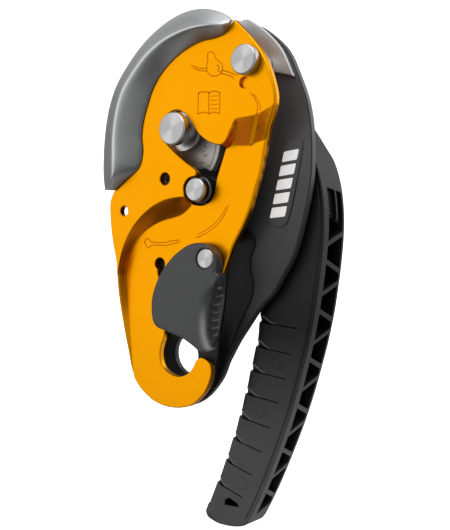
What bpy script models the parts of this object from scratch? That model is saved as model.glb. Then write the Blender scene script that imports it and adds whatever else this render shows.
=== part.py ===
"""Self-braking rope descender: a swinging side plate with a friction rim and a gated eye,
a cam between the plates, and a long control handle behind.

Frame: X to the right in the plane of the plates, Y from the front of the device to its back,
Z up. The origin is the centre of the attachment eye, on the front face of the fixed plate.
Lengths in this file are millimetres; meshes are written in metres.
"""
import math

import bmesh
import bpy
from mathutils import Matrix, Vector
from mathutils.geometry import delaunay_2d_cdt

MM = 0.001
GAP = 0.3            # clearance between touching pieces

# ---- driving dimensions -------------------------------------------------------------------
PLATE_T = 3.3        # thickness of the swinging plate
RAISED_Y = -16.0     # front of the plate's raised level, over the rope channel
LOWER_Y = -11.0      # front of the plate's lowered level, round the eye
FIXED_T = 3.2        # thickness of the fixed plate (y from 0 to 3.2)
EYE_R = 9.8          # attachment eye, for a carabiner
PIVOT = (44.1, 132.4)     # hinge of the swinging plate
CAM_C = (4.7, 105.6)      # axis of the cam and of the handle
GUIDE_C = (15.7, 77.4)    # rope guide post
GATE_C = (21.6, 46.0)     # hinge of the gate
CATCH_C = (-13.5, 87.0)   # hinge of the anti-error catch
GATE_FRONT, GATE_BACK = -17.9, -11.35
INNER_Y = -7.4       # everything fixed between the plates stays behind this
HANDLE_Y0, HANDLE_Y1 = 5.4, 24.6
TAPER = 0.039        # slope of the grip's back face below z = 24
CREST = 7.4          # height of the friction rim's crest over the plate
RIM_T = 2.8          # wall of the friction rim

# ---- scene --------------------------------------------------------------------------------
for old in list(bpy.data.objects):
    bpy.data.objects.remove(old, do_unlink=True)
parts = bpy.data.collections.new("rope_descender")
cutters = bpy.data.collections.new("cutters")
bpy.context.scene.collection.children.link(parts)
bpy.context.scene.collection.children.link(cutters)


def material(name, color, rough, metal):
    m = bpy.data.materials.new(name)
    m.use_nodes = True
    b = m.node_tree.nodes["Principled BSDF"]
    b.inputs["Base Color"].default_value = (*color, 1)
    b.inputs["Roughness"].default_value = rough
    b.inputs["Metallic"].default_value = metal
    return m


def own(base, name):
    m = base.copy()
    m.name = name
    return m


YELLOW = material("yellow_anodised", (0.93, 0.38, 0.0), 0.3, 0.6)
STEEL = material("satin_steel", (0.45, 0.45, 0.46), 0.35, 1.0)
LIGHT = material("light_steel", (0.6, 0.6, 0.6), 0.3, 1.0)
CHAR = material("charcoal_coat", (0.045, 0.045, 0.05), 0.45, 0.2)
NYLON = material("black_nylon", (0.02, 0.02, 0.022), 0.5, 0.0)
WIRE = material("spring_steel", (0.5, 0.5, 0.5), 0.3, 1.0)


# ---- outlines -----------------------------------------------------------------------------
def smooth(pts, n=3):
    """Catmull-Rom curve through the points, both ends included, n steps a span."""
    out = []
    for i in range(len(pts) - 1):
        p0 = pts[max(i - 1, 0)]
        p1, p2 = pts[i], pts[i + 1]
        p3 = pts[min(i + 2, len(pts) - 1)]
        for k in range(n):
            t = k / n
            out.append(tuple(
                0.5 * (2 * b + (c - a) * t + (2 * a - 5 * b + 4 * c - d) * t * t
                       + (3 * b - a - 3 * c + d) * t ** 3)
                for a, b, c, d in zip(p0, p1, p2, p3)))
    out.append(tuple(pts[-1]))
    return out


def join(*runs):
    """One closed loop from runs whose ends meet."""
    out = []
    for run in runs:
        for p in run:
            if not out or math.dist(p[:2], out[-1][:2]) > 0.05:
                out.append(tuple(p))
    if math.dist(out[0][:2], out[-1][:2]) < 0.05:
        out.pop()
    return out


def arc(c, r, a0, a1, n):
    return [(c[0] + r * math.cos(math.radians(a0 + (a1 - a0) * i / n)),
             c[1] + r * math.sin(math.radians(a0 + (a1 - a0) * i / n))) for i in range(n + 1)]


def circle(c, r, n=24):
    return arc(c, r, 0, 360, n)[:-1]


def at(pts, y):
    return [(p[0], p[1], y) for p in pts]


def inside(p, loop):
    x, z = p[0], p[1]
    hit = False
    for i in range(len(loop)):
        a, b = loop[i], loop[i - 1]
        if (a[1] > z) != (b[1] > z) and x < (b[0] - a[0]) * (z - a[1]) / (b[1] - a[1]) + a[0]:
            hit = not hit
    return hit


# ---- solids -------------------------------------------------------------------------------
def weld(me, sharp=35):
    bm = bmesh.new()
    bm.from_mesh(me)
    bmesh.ops.remove_doubles(bm, verts=bm.verts, dist=2e-6)
    bmesh.ops.dissolve_degenerate(bm, edges=bm.edges, dist=1e-6)
    bmesh.ops.recalc_face_normals(bm, faces=bm.faces)
    bm.to_mesh(me)
    bm.free()
    me.shade_smooth()
    me.set_sharp_from_angle(angle=math.radians(sharp))
    return me


def add(name, me, mat, origin=(0, 0, 0)):
    """An object with its mesh in world place and its origin on its own axis."""
    o = Vector(origin) * MM
    me.transform(Matrix.Translation(-o))
    ob = bpy.data.objects.new(name, me)
    ob.location = o
    me.materials.clear()
    me.materials.append(own(mat, name + "_mat"))
    parts.objects.link(ob)
    return ob


def baked(ob, matrix=None):
    """The evaluated mesh of a helper object, moved to world space; the helper is removed."""
    bpy.context.view_layer.update()
    dg = bpy.context.evaluated_depsgraph_get()
    me = bpy.data.meshes.new_from_object(ob.evaluated_get(dg))
    me.transform(matrix if matrix is not None else ob.matrix_world.copy())
    bpy.data.objects.remove(ob, do_unlink=True)
    return me


def flat_mesh(loops, y0, y1):
    """A flat outline with its holes, as a filled 2D curve, from y0 to y1."""
    cu = bpy.data.curves.new("outline", "CURVE")
    cu.dimensions = "2D"
    cu.fill_mode = "BOTH"
    cu.extrude = (y1 - y0) / 2 * MM
    for lp in loops:
        sp = cu.splines.new("POLY")
        sp.points.add(len(lp) - 1)
        for q, p in zip(sp.points, lp):
            q.co = (p[0] * MM, p[1] * MM, 0, 1)
        sp.use_cyclic_u = True
    ob = bpy.data.objects.new("outline", cu)
    parts.objects.link(ob)
    ob.rotation_euler = (math.radians(90), 0, 0)
    ob.location = (0, (y0 + y1) / 2 * MM, 0)
    return weld(baked(ob))


def flat(name, loops, y0, y1, mat, origin=(0, 0, 0)):
    return add(name, flat_mesh(loops, y0, y1), mat, origin)


def formed_mesh(outer, holes, lines, t):
    """A formed sheet: points are (x, z, y of the front face), folded along the given lines."""
    co, ys, edges = [], [], []
    for lp, closed in [(outer, True)] + [(h, True) for h in holes] + [(ln, False) for ln in lines]:
        s = len(co)
        for p in lp:
            co.append(Vector((p[0], p[1])))
            ys.append(p[2])
        n = len(lp)
        edges += [(s + i, s + (i + 1) % n) for i in range(n if closed else n - 1)]
    v2, _, f2, ov, _, _ = delaunay_2d_cdt(co, edges, [], 0, 1e-4)
    y2 = [sum(ys[i] for i in o) / len(o) if o else None for o in ov]
    bm = bmesh.new()
    front = [bm.verts.new((v.x * MM, (y if y is not None else 0) * MM, v.y * MM)) for v, y in zip(v2, y2)]
    back = [bm.verts.new((v.x * MM, ((y if y is not None else 0) + t) * MM, v.y * MM)) for v, y in zip(v2, y2)]
    count = {}
    for f in f2:
        c = sum((v2[i] for i in f), Vector((0, 0))) / len(f)
        if not inside(c, outer) or any(inside(c, h) for h in holes):
            continue
        a, b, d = (v2[i] for i in f[:3])
        if (b - a).cross(d - a) < 0:
            f = f[::-1]
        bm.faces.new([front[i] for i in f])
        bm.faces.new([back[i] for i in reversed(f)])
        for i, j in zip(f, f[1:] + f[:1]):
            count[(i, j)] = count.get((i, j), 0) + 1
    for i, j in count:
        if (j, i) not in count:
            bm.faces.new([front[j], front[i], back[i], back[j]])
    loose = [v for v in bm.verts if not v.link_faces]
    bmesh.ops.delete(bm, geom=loose, context="VERTS")
    bmesh.ops.recalc_face_normals(bm, faces=bm.faces)
    me = bpy.data.meshes.new("formed")
    bm.to_mesh(me)
    bm.free()
    return weld(me, 25)


def turned_mesh(c, profile, n=28):
    """A turned piece on an axis along Y at (x, z) = c; profile is (radius, y) from front to back."""
    me = bpy.data.meshes.new("turned")
    bm = bmesh.new()
    vs = [bm.verts.new((r * MM, 0, -y * MM)) for r, y in profile]
    for a, b in zip(vs, vs[1:]):
        bm.edges.new((a, b))
    if profile[0][0] > 0:
        bm.edges.new((vs[-1], vs[0]))
    bm.to_mesh(me)
    bm.free()
    ob = bpy.data.objects.new("turned", me)
    parts.objects.link(ob)
    sc = ob.modifiers.new("Screw", "SCREW")
    sc.steps = sc.render_steps = n
    sc.use_merge_vertices = True
    sc.merge_threshold = 0.00001
    return weld(baked(ob, Matrix.Translation(Vector((c[0], 0, c[1])) * MM)
                      @ Matrix.Rotation(math.radians(90), 4, "X")))


def turned(name, c, profile, mat, n=28):
    return add(name, turned_mesh(c, profile, n), mat, (c[0], 0, c[1]))


def coil(name, c, r, wire, y0, y1, turns, mat, per=18):
    """A helical spring on an axis along Y."""
    cu = bpy.data.curves.new(name, "CURVE")
    cu.dimensions = "3D"
    cu.bevel_depth = wire / 2 * MM
    cu.bevel_resolution = 1
    cu.use_fill_caps = True
    sp = cu.splines.new("POLY")
    n = int(turns * per)
    sp.points.add(n)
    for i, q in enumerate(sp.points):
        a = 2 * math.pi * i / per
        q.co = ((c[0] + r * math.cos(a)) * MM, (y0 + wire / 2 + (y1 - y0 - wire) * i / n) * MM,
                (c[1] + r * math.sin(a)) * MM, 1)
    ob = bpy.data.objects.new(name, cu)
    parts.objects.link(ob)
    me = baked(ob)
    bm = bmesh.new()
    bm.from_mesh(me)
    bmesh.ops.triangulate(bm, faces=bm.faces)
    bm.to_mesh(me)
    bm.free()
    return add(name, weld(me), mat, (c[0], 0, c[1]))


def cut(ob, meshes, op="DIFFERENCE"):
    """Apply Boolean cuts with cutters given as world-space meshes."""
    for i, me in enumerate(meshes):
        k = bpy.data.objects.new(f"{ob.name}_cut{i}", me)
        k.hide_render = True
        k.display_type = "WIRE"
        cutters.objects.link(k)
        m = ob.modifiers.new("cut", "BOOLEAN")
        m.operation = op
        m.object = k
        m.solver = "EXACT"
    bpy.context.view_layer.update()
    dg = bpy.context.evaluated_depsgraph_get()
    me = bpy.data.meshes.new_from_object(ob.evaluated_get(dg))
    mat = ob.data.materials[0]
    ob.modifiers.clear()
    ob.data = weld(me)
    ob.data.materials.clear()
    ob.data.materials.append(mat)


# ---- friction rim: stations (inner edge, crest, outer edge, height of the crest) ------------
RIM = [
    ((-33.5, 79.0), (-36.5, 79.0), (-40.2, 79.4), 0.22),
    ((-25.8, 84.1), (-30.5, 84.6), (-40.8, 87.0), 0.80),
    ((-18.7, 89.3), (-28.6, 92.0), (-40.6, 95.0), 1.0),
    ((-16.4, 96.5), (-28.6, 99.5), (-40.0, 103.0), 1.0),
    ((-17.0, 103.5), (-28.0, 107.0), (-38.9, 110.5), 1.0),
    ((-16.0, 110.5), (-26.2, 115.8), (-36.6, 119.5), 1.0),
    ((-13.4, 118.0), (-22.8, 124.4), (-32.2, 129.0), 1.0),
    ((-10.0, 125.5), (-17.0, 131.6), (-24.5, 138.5), 1.0),
    ((-5.0, 132.0), (-8.6, 139.4), (-13.5, 148.3), 1.0),
    ((2.5, 137.9), (1.0, 144.8), (-1.0, 155.2), 1.0),
    ((10.5, 141.8), (10.5, 147.6), (10.0, 158.3), 1.0),
    ((18.5, 144.0), (19.5, 148.8), (19.8, 158.4), 1.0),
    ((26.0, 144.4), (27.5, 148.8), (28.2, 156.2), 0.9),
    ((31.5, 145.6), (32.8, 148.4), (33.5, 153.4), 0.6),
    ((34.8, 148.3), (35.6, 149.6), (35.9, 151.3), 0.2),
]


def mix(a, b, f):
    return (a[0] + (b[0] - a[0]) * f, a[1] + (b[1] - a[1]) * f)


def rim_mesh():
    """Loft of the rim's inverted-V section along its stations."""
    bm = bmesh.new()
    rings = []
    for inn, cre, out, h in RIM:
        top = -16.9 - (CREST - 0.9) * h
        sec = [(inn, 0, -16.3), (inn, 0, -16.7), (mix(inn, cre, 0.45), 0, -16.7 + (top + 16.9) * 0.5),
               (mix(inn, cre, 0.9), 0, top + 0.3), (mix(cre, out, 0.08), 0, top),
               (mix(cre, out, 0.55), 0, top + 2.3 * h), (mix(cre, out, 0.9), 0, top + 4.7 * h),
               (out, 0, top + 5.8 * h), (out, 0, top + 7.2 * h + 0.5),
               (mix(cre, out, 0.85), 0, top + 4.7 * h + RIM_T * (0.3 + 0.7 * h)),
               (mix(cre, out, 0.15), 0, min(top + RIM_T, -16.3)),
               (mix(inn, cre, 0.85), 0, min(top + RIM_T + 0.3, -16.3)),
               (mix(inn, cre, 0.6), 0, -16.3)]
        rings.append([bm.verts.new((p[0] * MM, y * MM, p[1] * MM)) for p, _, y in sec])
    k = len(rings[0])
    for a, b in zip(rings, rings[1:]):
        for i in range(k):
            j = (i + 1) % k
            bm.faces.new([a[i], a[j], b[j], b[i]])
    bm.faces.new(rings[0][::-1])
    bm.faces.new(rings[-1])
    bmesh.ops.triangulate(bm, faces=bm.faces)
    bmesh.ops.recalc_face_normals(bm, faces=bm.faces)
    me = bpy.data.meshes.new("rim")
    bm.to_mesh(me)
    bm.free()
    return weld(me, 50)


# ---- swinging side plate ---------------------------------------------------------------------
RY, LY = RAISED_Y, LOWER_Y
right_raised = at([(36.8, 151.2), (39.9, 148.4), (47.2, 140.8), (52.4, 133.6), (55.9, 125.6),
                   (58.2, 117.5), (58.3, 112.5)], RY)
right_slope = [(58.3, 112.5, RY), (50.6, 98.3, LY)]
right_lower = at([(50.6, 98.3), (48.9, 91.2), (47.0, 83.5), (44.2, 75.8), (41.4, 68.0), (37.5, 60.2),
                  (32.6, 52.2), (29.7, 45.8), (27.3, 40.2)], LY)
over_mouth = at([(27.3, 40.2), (24.5, 33.5), (19.0, 27.0), (11.0, 23.0), (2.0, 20.5), (-4.5, 17.0),
                 (-7.3, 12.0)], LY)
hook_inner = at([(-7.3, 12.0), (-7.8, 8.3), (-9.4, 4.8), (-10.3, 0.7), (-9.5, -4.2), (-6.8, -7.3),
                 (-2.2, -9.3), (2.2, -9.4), (6.4, -7.7), (9.2, -5.1), (11.3, -1.4)], LY)
hook_tip = at([(11.3, -1.4), (13.9, 0.3), (17.1, -0.3), (19.6, -2.5), (20.2, -6.5), (18.7, -11.6),
               (15.5, -16.8), (9.7, -21.8), (4.3, -23.8), (-2.2, -24.6), (-8.9, -24.1),
               (-15.7, -21.9), (-22.6, -17.3), (-26.5, -12.9)], LY)
left_lip = [(-26.5, -12.9, -11.0), (-28.4, -6.4, -11.5), (-29.6, 0.9, -12.1), (-30.8, 8.2, -12.9),
            (-31.8, 15.5, -13.7), (-32.6, 22.8, -14.6), (-33.2, 30.2, -15.4), (-33.4, 37.8, RY)]
left_raised = at([(-33.4, 37.8), (-34.0, 45.1), (-35.8, 52.4), (-37.1, 59.7), (-37.8, 67.1),
                  (-37.6, 74.0), (-34.6, 79.4)], RY)
under_rim = at([mix(i, c, 0.5) for i, c, o, h in RIM[1:14]], RY)
PLATE_OUT = join(smooth(right_raised), right_slope, smooth(right_lower), smooth(over_mouth),
                 smooth(hook_inner, 2), smooth(hook_tip, 2), left_lip, smooth(left_raised),
                 [(-34.6, 79.4, RY)], smooth(under_rim, 2), [(36.8, 151.2, RY)])

win_top = at([(9.8, 111.9), (13.2, 107.3), (17.0, 102.6), (22.0, 99.0), (26.6, 97.2), (29.4, 96.9)], RY)
win_right = at([(28.3, 95.3), (26.8, 91.2), (24.9, 86.4), (23.2, 81.5), (22.0, 76.2), (19.5, 72.4),
                (16.2, 70.8), (12.6, 70.6), (9.6, 71.2)], LY)
win_left = at([(8.6, 74.6), (8.2, 79.4), (11.0, 82.8), (14.6, 83.6), (15.4, 85.2), (13.2, 87.6),
               (8.9, 90.5), (4.1, 94.2), (-0.4, 98.0)], RY)
win_lobe = at([(-0.4, 98.0), (-3.6, 101.6), (-4.6, 105.6), (-3.2, 110.4), (0.6, 114.0),
               (5.4, 114.4), (9.8, 111.9)], RY)
WINDOW = join(smooth(win_top), smooth(win_right, 2), smooth(win_left, 1), smooth(win_lobe, 2))

S_TOP = at([(8.6, 74.6), (2.6, 74.4), (-3.0, 73.6), (-9.1, 71.5), (-15.4, 67.9), (-21.4, 62.9),
            (-26.3, 57.0), (-29.9, 50.3), (-31.9, 43.5), (-33.4, 37.8)], RY)
S_FOOT = at([(9.6, 71.2), (5.3, 67.4), (1.3, 65.7), (-3.4, 64.7), (-9.1, 63.5), (-14.3, 61.6),
             (-18.8, 59.2), (-23.0, 55.8), (-26.6, 51.2), (-29.4, 46.0), (-30.8, 40.5), (-30.9, 31.8),
             (-30.4, 22.0), (-29.4, 12.0), (-28.2, 2.0), (-27.2, -6.0), (-26.5, -12.9)], LY)
P_TOP = at([(29.4, 96.9), (31.8, 98.6), (34.3, 102.9), (37.2, 108.0), (42.1, 108.3), (48.2, 108.8),
            (52.9, 110.3), (58.3, 112.5)], RY)
P_FOOT = at([(28.3, 95.3), (33.7, 96.4), (39.9, 96.0), (44.8, 96.9), (50.6, 98.3)], LY)

SLOT_R = 32.0        # the gate's peg runs in a slot on this radius about the gate's hinge


def slot_loop(a0, a1, w, end_r):
    """Arc slot of half-width w from angle a0 to a1, with a round end of radius end_r at a0."""
    o = arc(GATE_C, SLOT_R + w, a0 + 4.6, a1, 8)
    e = (GATE_C[0] + SLOT_R * math.cos(math.radians(a1)), GATE_C[1] + SLOT_R * math.sin(math.radians(a1)))
    s = (GATE_C[0] + SLOT_R * math.cos(math.radians(a0)), GATE_C[1] + SLOT_R * math.sin(math.radians(a0)))
    cap = arc(e, w, a1, a1 + 180, 6)
    i = arc(GATE_C, SLOT_R - w, a1, a0 + 4.6, 8)
    back = math.degrees(math.asin(w / end_r))
    # round end: from the inner wall, back round the end, to the outer wall
    head = arc(s, end_r, a0 + 90 + back, a0 + 450 - back, 14)
    return join(o, cap, i, head)


def y_of(pts, y):
    return at(pts, y)


HOLES = [WINDOW,
         y_of(circle(PIVOT, 3.4, 20), RY),
         y_of(circle((-28.6, 68.8), 2.4, 16), RY),
         y_of(circle((-3.0, 83.1), 2.9, 16), RY),
         y_of(circle(GATE_C, 2.8, 16), LY),
         y_of(slot_loop(185.0, 216.0, 1.9, 3.0), LY)]
add("moving_side_plate", formed_mesh(PLATE_OUT, HOLES, [S_TOP, S_FOOT, P_TOP, P_FOOT], PLATE_T),
    YELLOW, (PIVOT[0], 0, PIVOT[1]))
add("front_friction_rim", rim_mesh(), STEEL, (PIVOT[0], 0, PIVOT[1]))

# axle heads that ride with the plate and cap the fixed axles
turned("cam_stud", CAM_C, [(0, -20.6), (7.0, -20.6), (7.6, -20.0), (7.6, -16.9), (7.2, -16.5),
                           (5.6, -16.4), (5.6, -12.3), (9.8, -12.3), (9.8, -10.6), (7.0, -10.2),
                           (7.0, -7.9), (0, -7.9)], STEEL, 32)
turned("guide_stud", GUIDE_C, [(0, -17.6), (4.9, -17.6), (5.4, -17.1), (5.4, -15.2), (3.2, -15.0),
                               (3.2, -7.9), (0, -7.9)], STEEL)
turned("guide_collar", GUIDE_C, [(3.5, -13.6), (6.0, -13.6), (6.3, -13.3), (6.3, -12.4), (5.8, -11.9),
                                 (5.8, -8.0), (3.5, -8.0)], STEEL)
for i, k in enumerate((3, 7, 11)):
    inn, cre, out, h = RIM[k]
    c = mix(inn, cre, 0.2)
    turned(f"rim_rivet_{i + 1}", c, [(0, -12.4), (2.4, -12.4), (2.4, -11.6), (1.9, -11.2), (0, -11.2)], STEEL, 14)

# ---- gate ------------------------------------------------------------------------------------
gate_out = join(smooth([(18.3, 53.3), (21.7, 52.5), (24.2, 50.6), (26.2, 48.6), (27.3, 46.0), (27.5, 42.7),
                        (27.3, 40.0)], 2),
                smooth([(29.1, 38.0), (29.1, 34.1), (28.4, 26.8), (27.0, 20.1), (25.8, 13.4), (25.0, 8.0),
                        (24.3, 5.3)], 2),
                smooth([(24.3, 5.3), (21.4, 3.7), (18.2, 3.9), (14.0, 6.4), (8.0, 9.4), (2.6, 11.0),
                        (-3.3, 12.6), (-7.0, 13.8), (-9.4, 16.6), (-10.3, 22.0), (-9.8, 28.0),
                        (-7.4, 34.4), (-3.0, 41.2), (3.0, 47.2), (9.6, 51.4), (14.2, 53.0), (18.3, 53.3)]))
gate = flat("gate", [gate_out], GATE_FRONT, GATE_BACK, NYLON, (GATE_C[0], 0, GATE_C[1]))
# thumb pad: the front slopes down from a curved line to the right-hand edge
pad_left = [(30.4, 34.9), (25.9, 30.9), (23.4, 25.6), (21.9, 19.6), (21.8, 13.6), (22.6, 9.0), (22.2, 1.0)]
pad_right = [(31.4, 34.9), (31.2, 30.9), (30.6, 25.6), (30.0, 19.6), (29.0, 13.6), (28.0, 9.0), (27.0, 1.0)]
bm = bmesh.new()
rows = [[bm.verts.new((q[0] * MM, y * MM, q[1] * MM)) for q, y in
         ((p, -20.5), (p, GATE_FRONT + 0.2), (r, -13.4), (r, -20.5))] for p, r in zip(pad_left, pad_right)]
for u, v in zip(rows, rows[1:]):
    for k in range(4):
        n = (k + 1) % 4
        bm.faces.new([u[k], u[n], v[n], v[k]])
bm.faces.new(rows[0][::-1])
bm.faces.new(rows[-1])
bmesh.ops.triangulate(bm, faces=bm.faces)
bmesh.ops.recalc_face_normals(bm, faces=bm.faces)
pad = bpy.data.meshes.new("pad")
bm.to_mesh(pad)
bm.free()
cut(gate, [pad, turned_mesh(GATE_C, [(0, -19.8), (5.0, -19.8), (5.0, -15.4), (2.8, -15.4), (2.8, -14.6),
                                     (4.9, -14.6), (4.9, -10.6), (0, -10.6)], 20)])
a = math.radians(213.0)
PEG_C = (GATE_C[0] + SLOT_R * math.cos(a), GATE_C[1] + SLOT_R * math.sin(a))
turned("gate_peg", PEG_C, [(0, -11.3), (1.5, -11.3), (1.5, -7.9), (0, -7.9)], STEEL, 12)
turned("gate_rivet", GATE_C, [(0, -17.6), (4.2, -17.6), (4.6, -17.2), (4.6, -15.8), (2.4, -15.8),
                              (2.4, -7.9), (0, -7.9)], STEEL, 24)
coil("gate_spring", GATE_C, 3.75, 0.7, -14.3, -11.6, 2.25, WIRE)

# ---- anti-error catch under the raised level --------------------------------------------------
catch_out = join(arc(CATCH_C, 4.2, 60, 250, 8), smooth([(-14.9, 83.1), (-10.0, 79.6), (-5.4, 77.0),
                 (-3.4, 77.8), (-4.2, 80.4), (-7.6, 85.4), (-11.4, 90.6)], 2))
flat("anti_error_catch", [catch_out, circle(CATCH_C, 2.1, 14)], -12.2, -8.4, STEEL,
     (CATCH_C[0], 0, CATCH_C[1]))
turned("catch_pin", CATCH_C, [(0, -12.4), (1.8, -12.4), (1.8, -8.1), (0, -8.1)], STEEL, 14)

# ---- fixed side: plate, liner, body -------------------------------------------------------------
plate_right = [(34.0, 149.4), (38.0, 151.8), (45.6, 147.1), (54.4, 138.5), (60.1, 127.2),
               (64.8, 114.7), (66.9, 102.0), (67.2, 90.5), (66.8, 81.8), (65.4, 73.5), (63.4, 65.2),
               (60.5, 54.8), (57.1, 45.9), (52.6, 38.7), (47.2, 30.4), (40.1, 23.7), (33.4, 15.0),
               (27.9, 7.6), (24.4, 1.9), (21.5, -3.1), (19.4, -8.0), (16.5, -12.6), (11.0, -18.7),
               (4.9, -22.9), (-1.3, -24.9), (-8.6, -23.8), (-15.2, -21.4), (-21.6, -17.0),
               (-25.6, -12.4)]
plate_left = [(-25.6, -12.4), (-28.6, 0.9), (-31.0, 16.0), (-32.4, 30.0), (-33.0, 45.0), (-35.4, 58.0),
              (-35.0, 68.0), (-32.4, 76.0), (-30.6, 84.0)]
RIM_LINE = [mix(c, o, 0.05) for i, c, o, h in RIM[2:13]]
FIXED_OUT = join(smooth(plate_right, 2), smooth(plate_left, 2), smooth(RIM_LINE, 2))
SCREWS = [(-18.0, 40.0), (16.0, 34.0), (-20.0, -4.0)]
flat("fixed_side_plate",
     [FIXED_OUT, circle((0, 0), EYE_R, 32), circle(PIVOT, 3.4, 18), circle(CAM_C, 4.3, 20),
      circle(GUIDE_C, 3.4, 18)] + [circle(s, 1.9, 12) for s in SCREWS], 0, FIXED_T, CHAR)

liner_in = at([(34.8, 154.6), (43.6, 148.4), (52.6, 139.0), (58.6, 127.0)], -2.3)
liner_low = at([(58.6, 126.2), (48.9, 128.9), (38.0, 124.0), (26.0, 128.0), (14.0, 131.0),
                (2.0, 127.0), (-6.0, 118.0), (-8.4, 108.0), (-8.0, 96.0), (-13.0, 88.0),
                (-22.0, 82.0), (-31.0, 79.0)], -2.3)
flare = [(o[0] * 0.992 + 0.2, o[1] * 0.992 + 0.6, -2.3 + 4.6 * h) for i, c, o, h in RIM[1:13]]
flare[0] = (-39.6, 86.0, 0.6)
LINER_OUT = join(smooth(liner_in, 2), liner_low, [(-34.0, 78.8, -2.3), (-38.4, 79.6, -0.8)], smooth(flare, 2))
fold = at([mix(c, o, 0.24) for i, c, o, h in RIM[1:13]], -2.3)
add("rear_friction_rim",
    formed_mesh(LINER_OUT, [at(circle(PIVOT, 3.6, 18), -2.3)], [[(-34.0, 78.8, -2.3)] + smooth(fold, 2) + [(34.8, 154.6, -2.3)]], 2.0), LIGHT)

body_top = at([(-33.0, 36.0), (-31.2, 45.0), (-27.6, 51.4), (-23.4, 56.2), (-18.8, 59.6), (-14.0, 61.9),
               (-8.0, 63.8), (0.0, 65.4), (5.0, 67.0), (9.0, 68.4), (14.0, 68.0), (22.0, 66.0),
               (27.0, 62.0)], INNER_Y)
body_wall = at([(27.0, 62.0), (28.4, 56.0), (28.0, 48.0), (26.6, 38.0), (25.4, 28.0), (23.8, 16.0),
                (22.0, 6.0), (21.4, 1.0)], INNER_Y)
body_low = at([(21.4, 1.0), (19.6, -4.0), (17.4, -9.0), (14.0, -14.6), (9.0, -19.4), (3.0, -22.9),
               (-3.0, -24.2), (-9.2, -23.2), (-15.6, -20.6), (-21.6, -16.4), (-25.4, -12.0)], INNER_Y)
body_left = at([(-25.4, -12.0), (-28.2, 1.0), (-30.6, 16.0), (-32.2, 28.0), (-33.0, 36.0)], INNER_Y)
BODY_OUT = join(smooth(body_top, 2), smooth(body_wall, 2), smooth(body_low, 2), body_left)
spacer = flat("spacer_body", [BODY_OUT, circle((0, 0), EYE_R, 32)]
              + [circle(s, 1.8, 12) for s in SCREWS], INNER_Y, -GAP, NYLON)
# sloping shoulder on the right of the body, down to the fixed plate
leaf_foot = [(27.3, 62.0, -1.0), (35.4, 58.6, -1.0), (37.6, 53.2, -1.0), (35.2, 43.2, -1.0),
             (36.3, 35.0, -1.0), (35.7, 30.4, -1.0), (32.9, 23.9, -1.0), (28.5, 15.4, -1.0),
             (24.4, 6.0, -1.0), (22.3, 2.4, -1.0)]
wall_in = [(p[0] + GAP, p[1], -6.6) for p in body_wall]
LEAF = join(leaf_foot, wall_in[::-1])
bm = bmesh.new()
top = [bm.verts.new((p[0] * MM, p[2] * MM, p[1] * MM)) for p in LEAF]
bot = [bm.verts.new((p[0] * MM, -GAP * MM, p[1] * MM)) for p in LEAF]
bm.faces.new(top)
bm.faces.new(bot[::-1])
for i in range(len(LEAF)):
    j = (i + 1) % len(LEAF)
    bm.faces.new([top[j], top[i], bot[i], bot[j]])
bmesh.ops.triangulate(bm, faces=bm.faces)
bmesh.ops.recalc_face_normals(bm, faces=bm.faces)
leaf = bpy.data.meshes.new("leaf")
bm.to_mesh(leaf)
bm.free()
add("body_shoulder", weld(leaf), NYLON)

badge = [(44.5, 62.0), (52.0, 60.5), (56.0, 66.0), (61.5, 90.0), (62.0, 97.5), (56.5, 99.0),
         (52.5, 94.5), (46.5, 70.0), (44.5, 62.0)]
flat("badge_plate", [join(smooth(badge, 2))], -0.9, -GAP, CHAR)

for i, s in enumerate(SCREWS):
    turned(f"body_screw_{i + 1}", s, [(0, -5.6), (1.5, -5.6), (1.5, 3.5), (2.9, 3.5), (2.9, 4.4),
                                      (2.4, 4.9), (0, 4.9)], STEEL, 14)

# ---- axles --------------------------------------------------------------------------------------
turned("plate_pivot_axle", PIVOT, [(0, -20.2), (6.0, -20.2), (6.6, -19.6), (6.6, -16.4), (3.1, -16.3),
                                   (3.1, 3.5), (5.0, 3.5), (4.6, 4.8), (0, 4.8)], STEEL)
turned("pivot_bush", PIVOT, [(3.4, -12.3), (5.2, -12.3), (5.2, -9.5), (4.0, -8.5), (4.0, -2.7), (3.4, -2.7)],
       STEEL, 24)
turned("cam_axle", CAM_C, [(0, -7.3), (5.6, -7.3), (5.6, -6.7), (4.0, -6.6), (4.0, 15.6), (0, 15.6)], STEEL)
turned("guide_axle", GUIDE_C, [(0, -7.3), (5.0, -7.3), (5.0, -GAP), (3.1, -GAP), (3.1, 3.5), (5.0, 3.5),
                               (4.6, 4.8), (0, 4.8)], STEEL)
turned("guide_bush", GUIDE_C, [(5.3, -7.1), (6.6, -7.1), (6.6, -0.5), (5.3, -0.5)], LIGHT)

# ---- cam ----------------------------------------------------------------------------------------
cam_out = join(arc(CAM_C, 11.5, 60, 225, 14),
               smooth([(-3.4, 97.5), (0.5, 92.6), (6.0, 89.4), (10.4, 87.6), (13.6, 87.6), (16.6, 86.4),
                       (18.6, 88.6), (20.8, 93.0), (22.0, 98.0), (21.6, 104.0), (18.6, 110.0),
                       (14.6, 114.0), (10.4, 115.5)], 2))
cam = flat("cam", [cam_out, circle(CAM_C, 4.3, 20)], -6.4, -2.7, LIGHT, (CAM_C[0], 0, CAM_C[1]))
cut(cam, [turned_mesh(CAM_C, [(0, -7.4), (6.0, -7.4), (6.0, -6.2), (0, -6.2)], 20)])
flat("friction_block", [[(29.0, 100.0), (33.0, 90.0), (40.0, 88.0), (43.0, 96.0), (42.0, 108.0),
                         (36.0, 114.0), (31.0, 110.0)]], INNER_Y, -0.3, STEEL)

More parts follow.
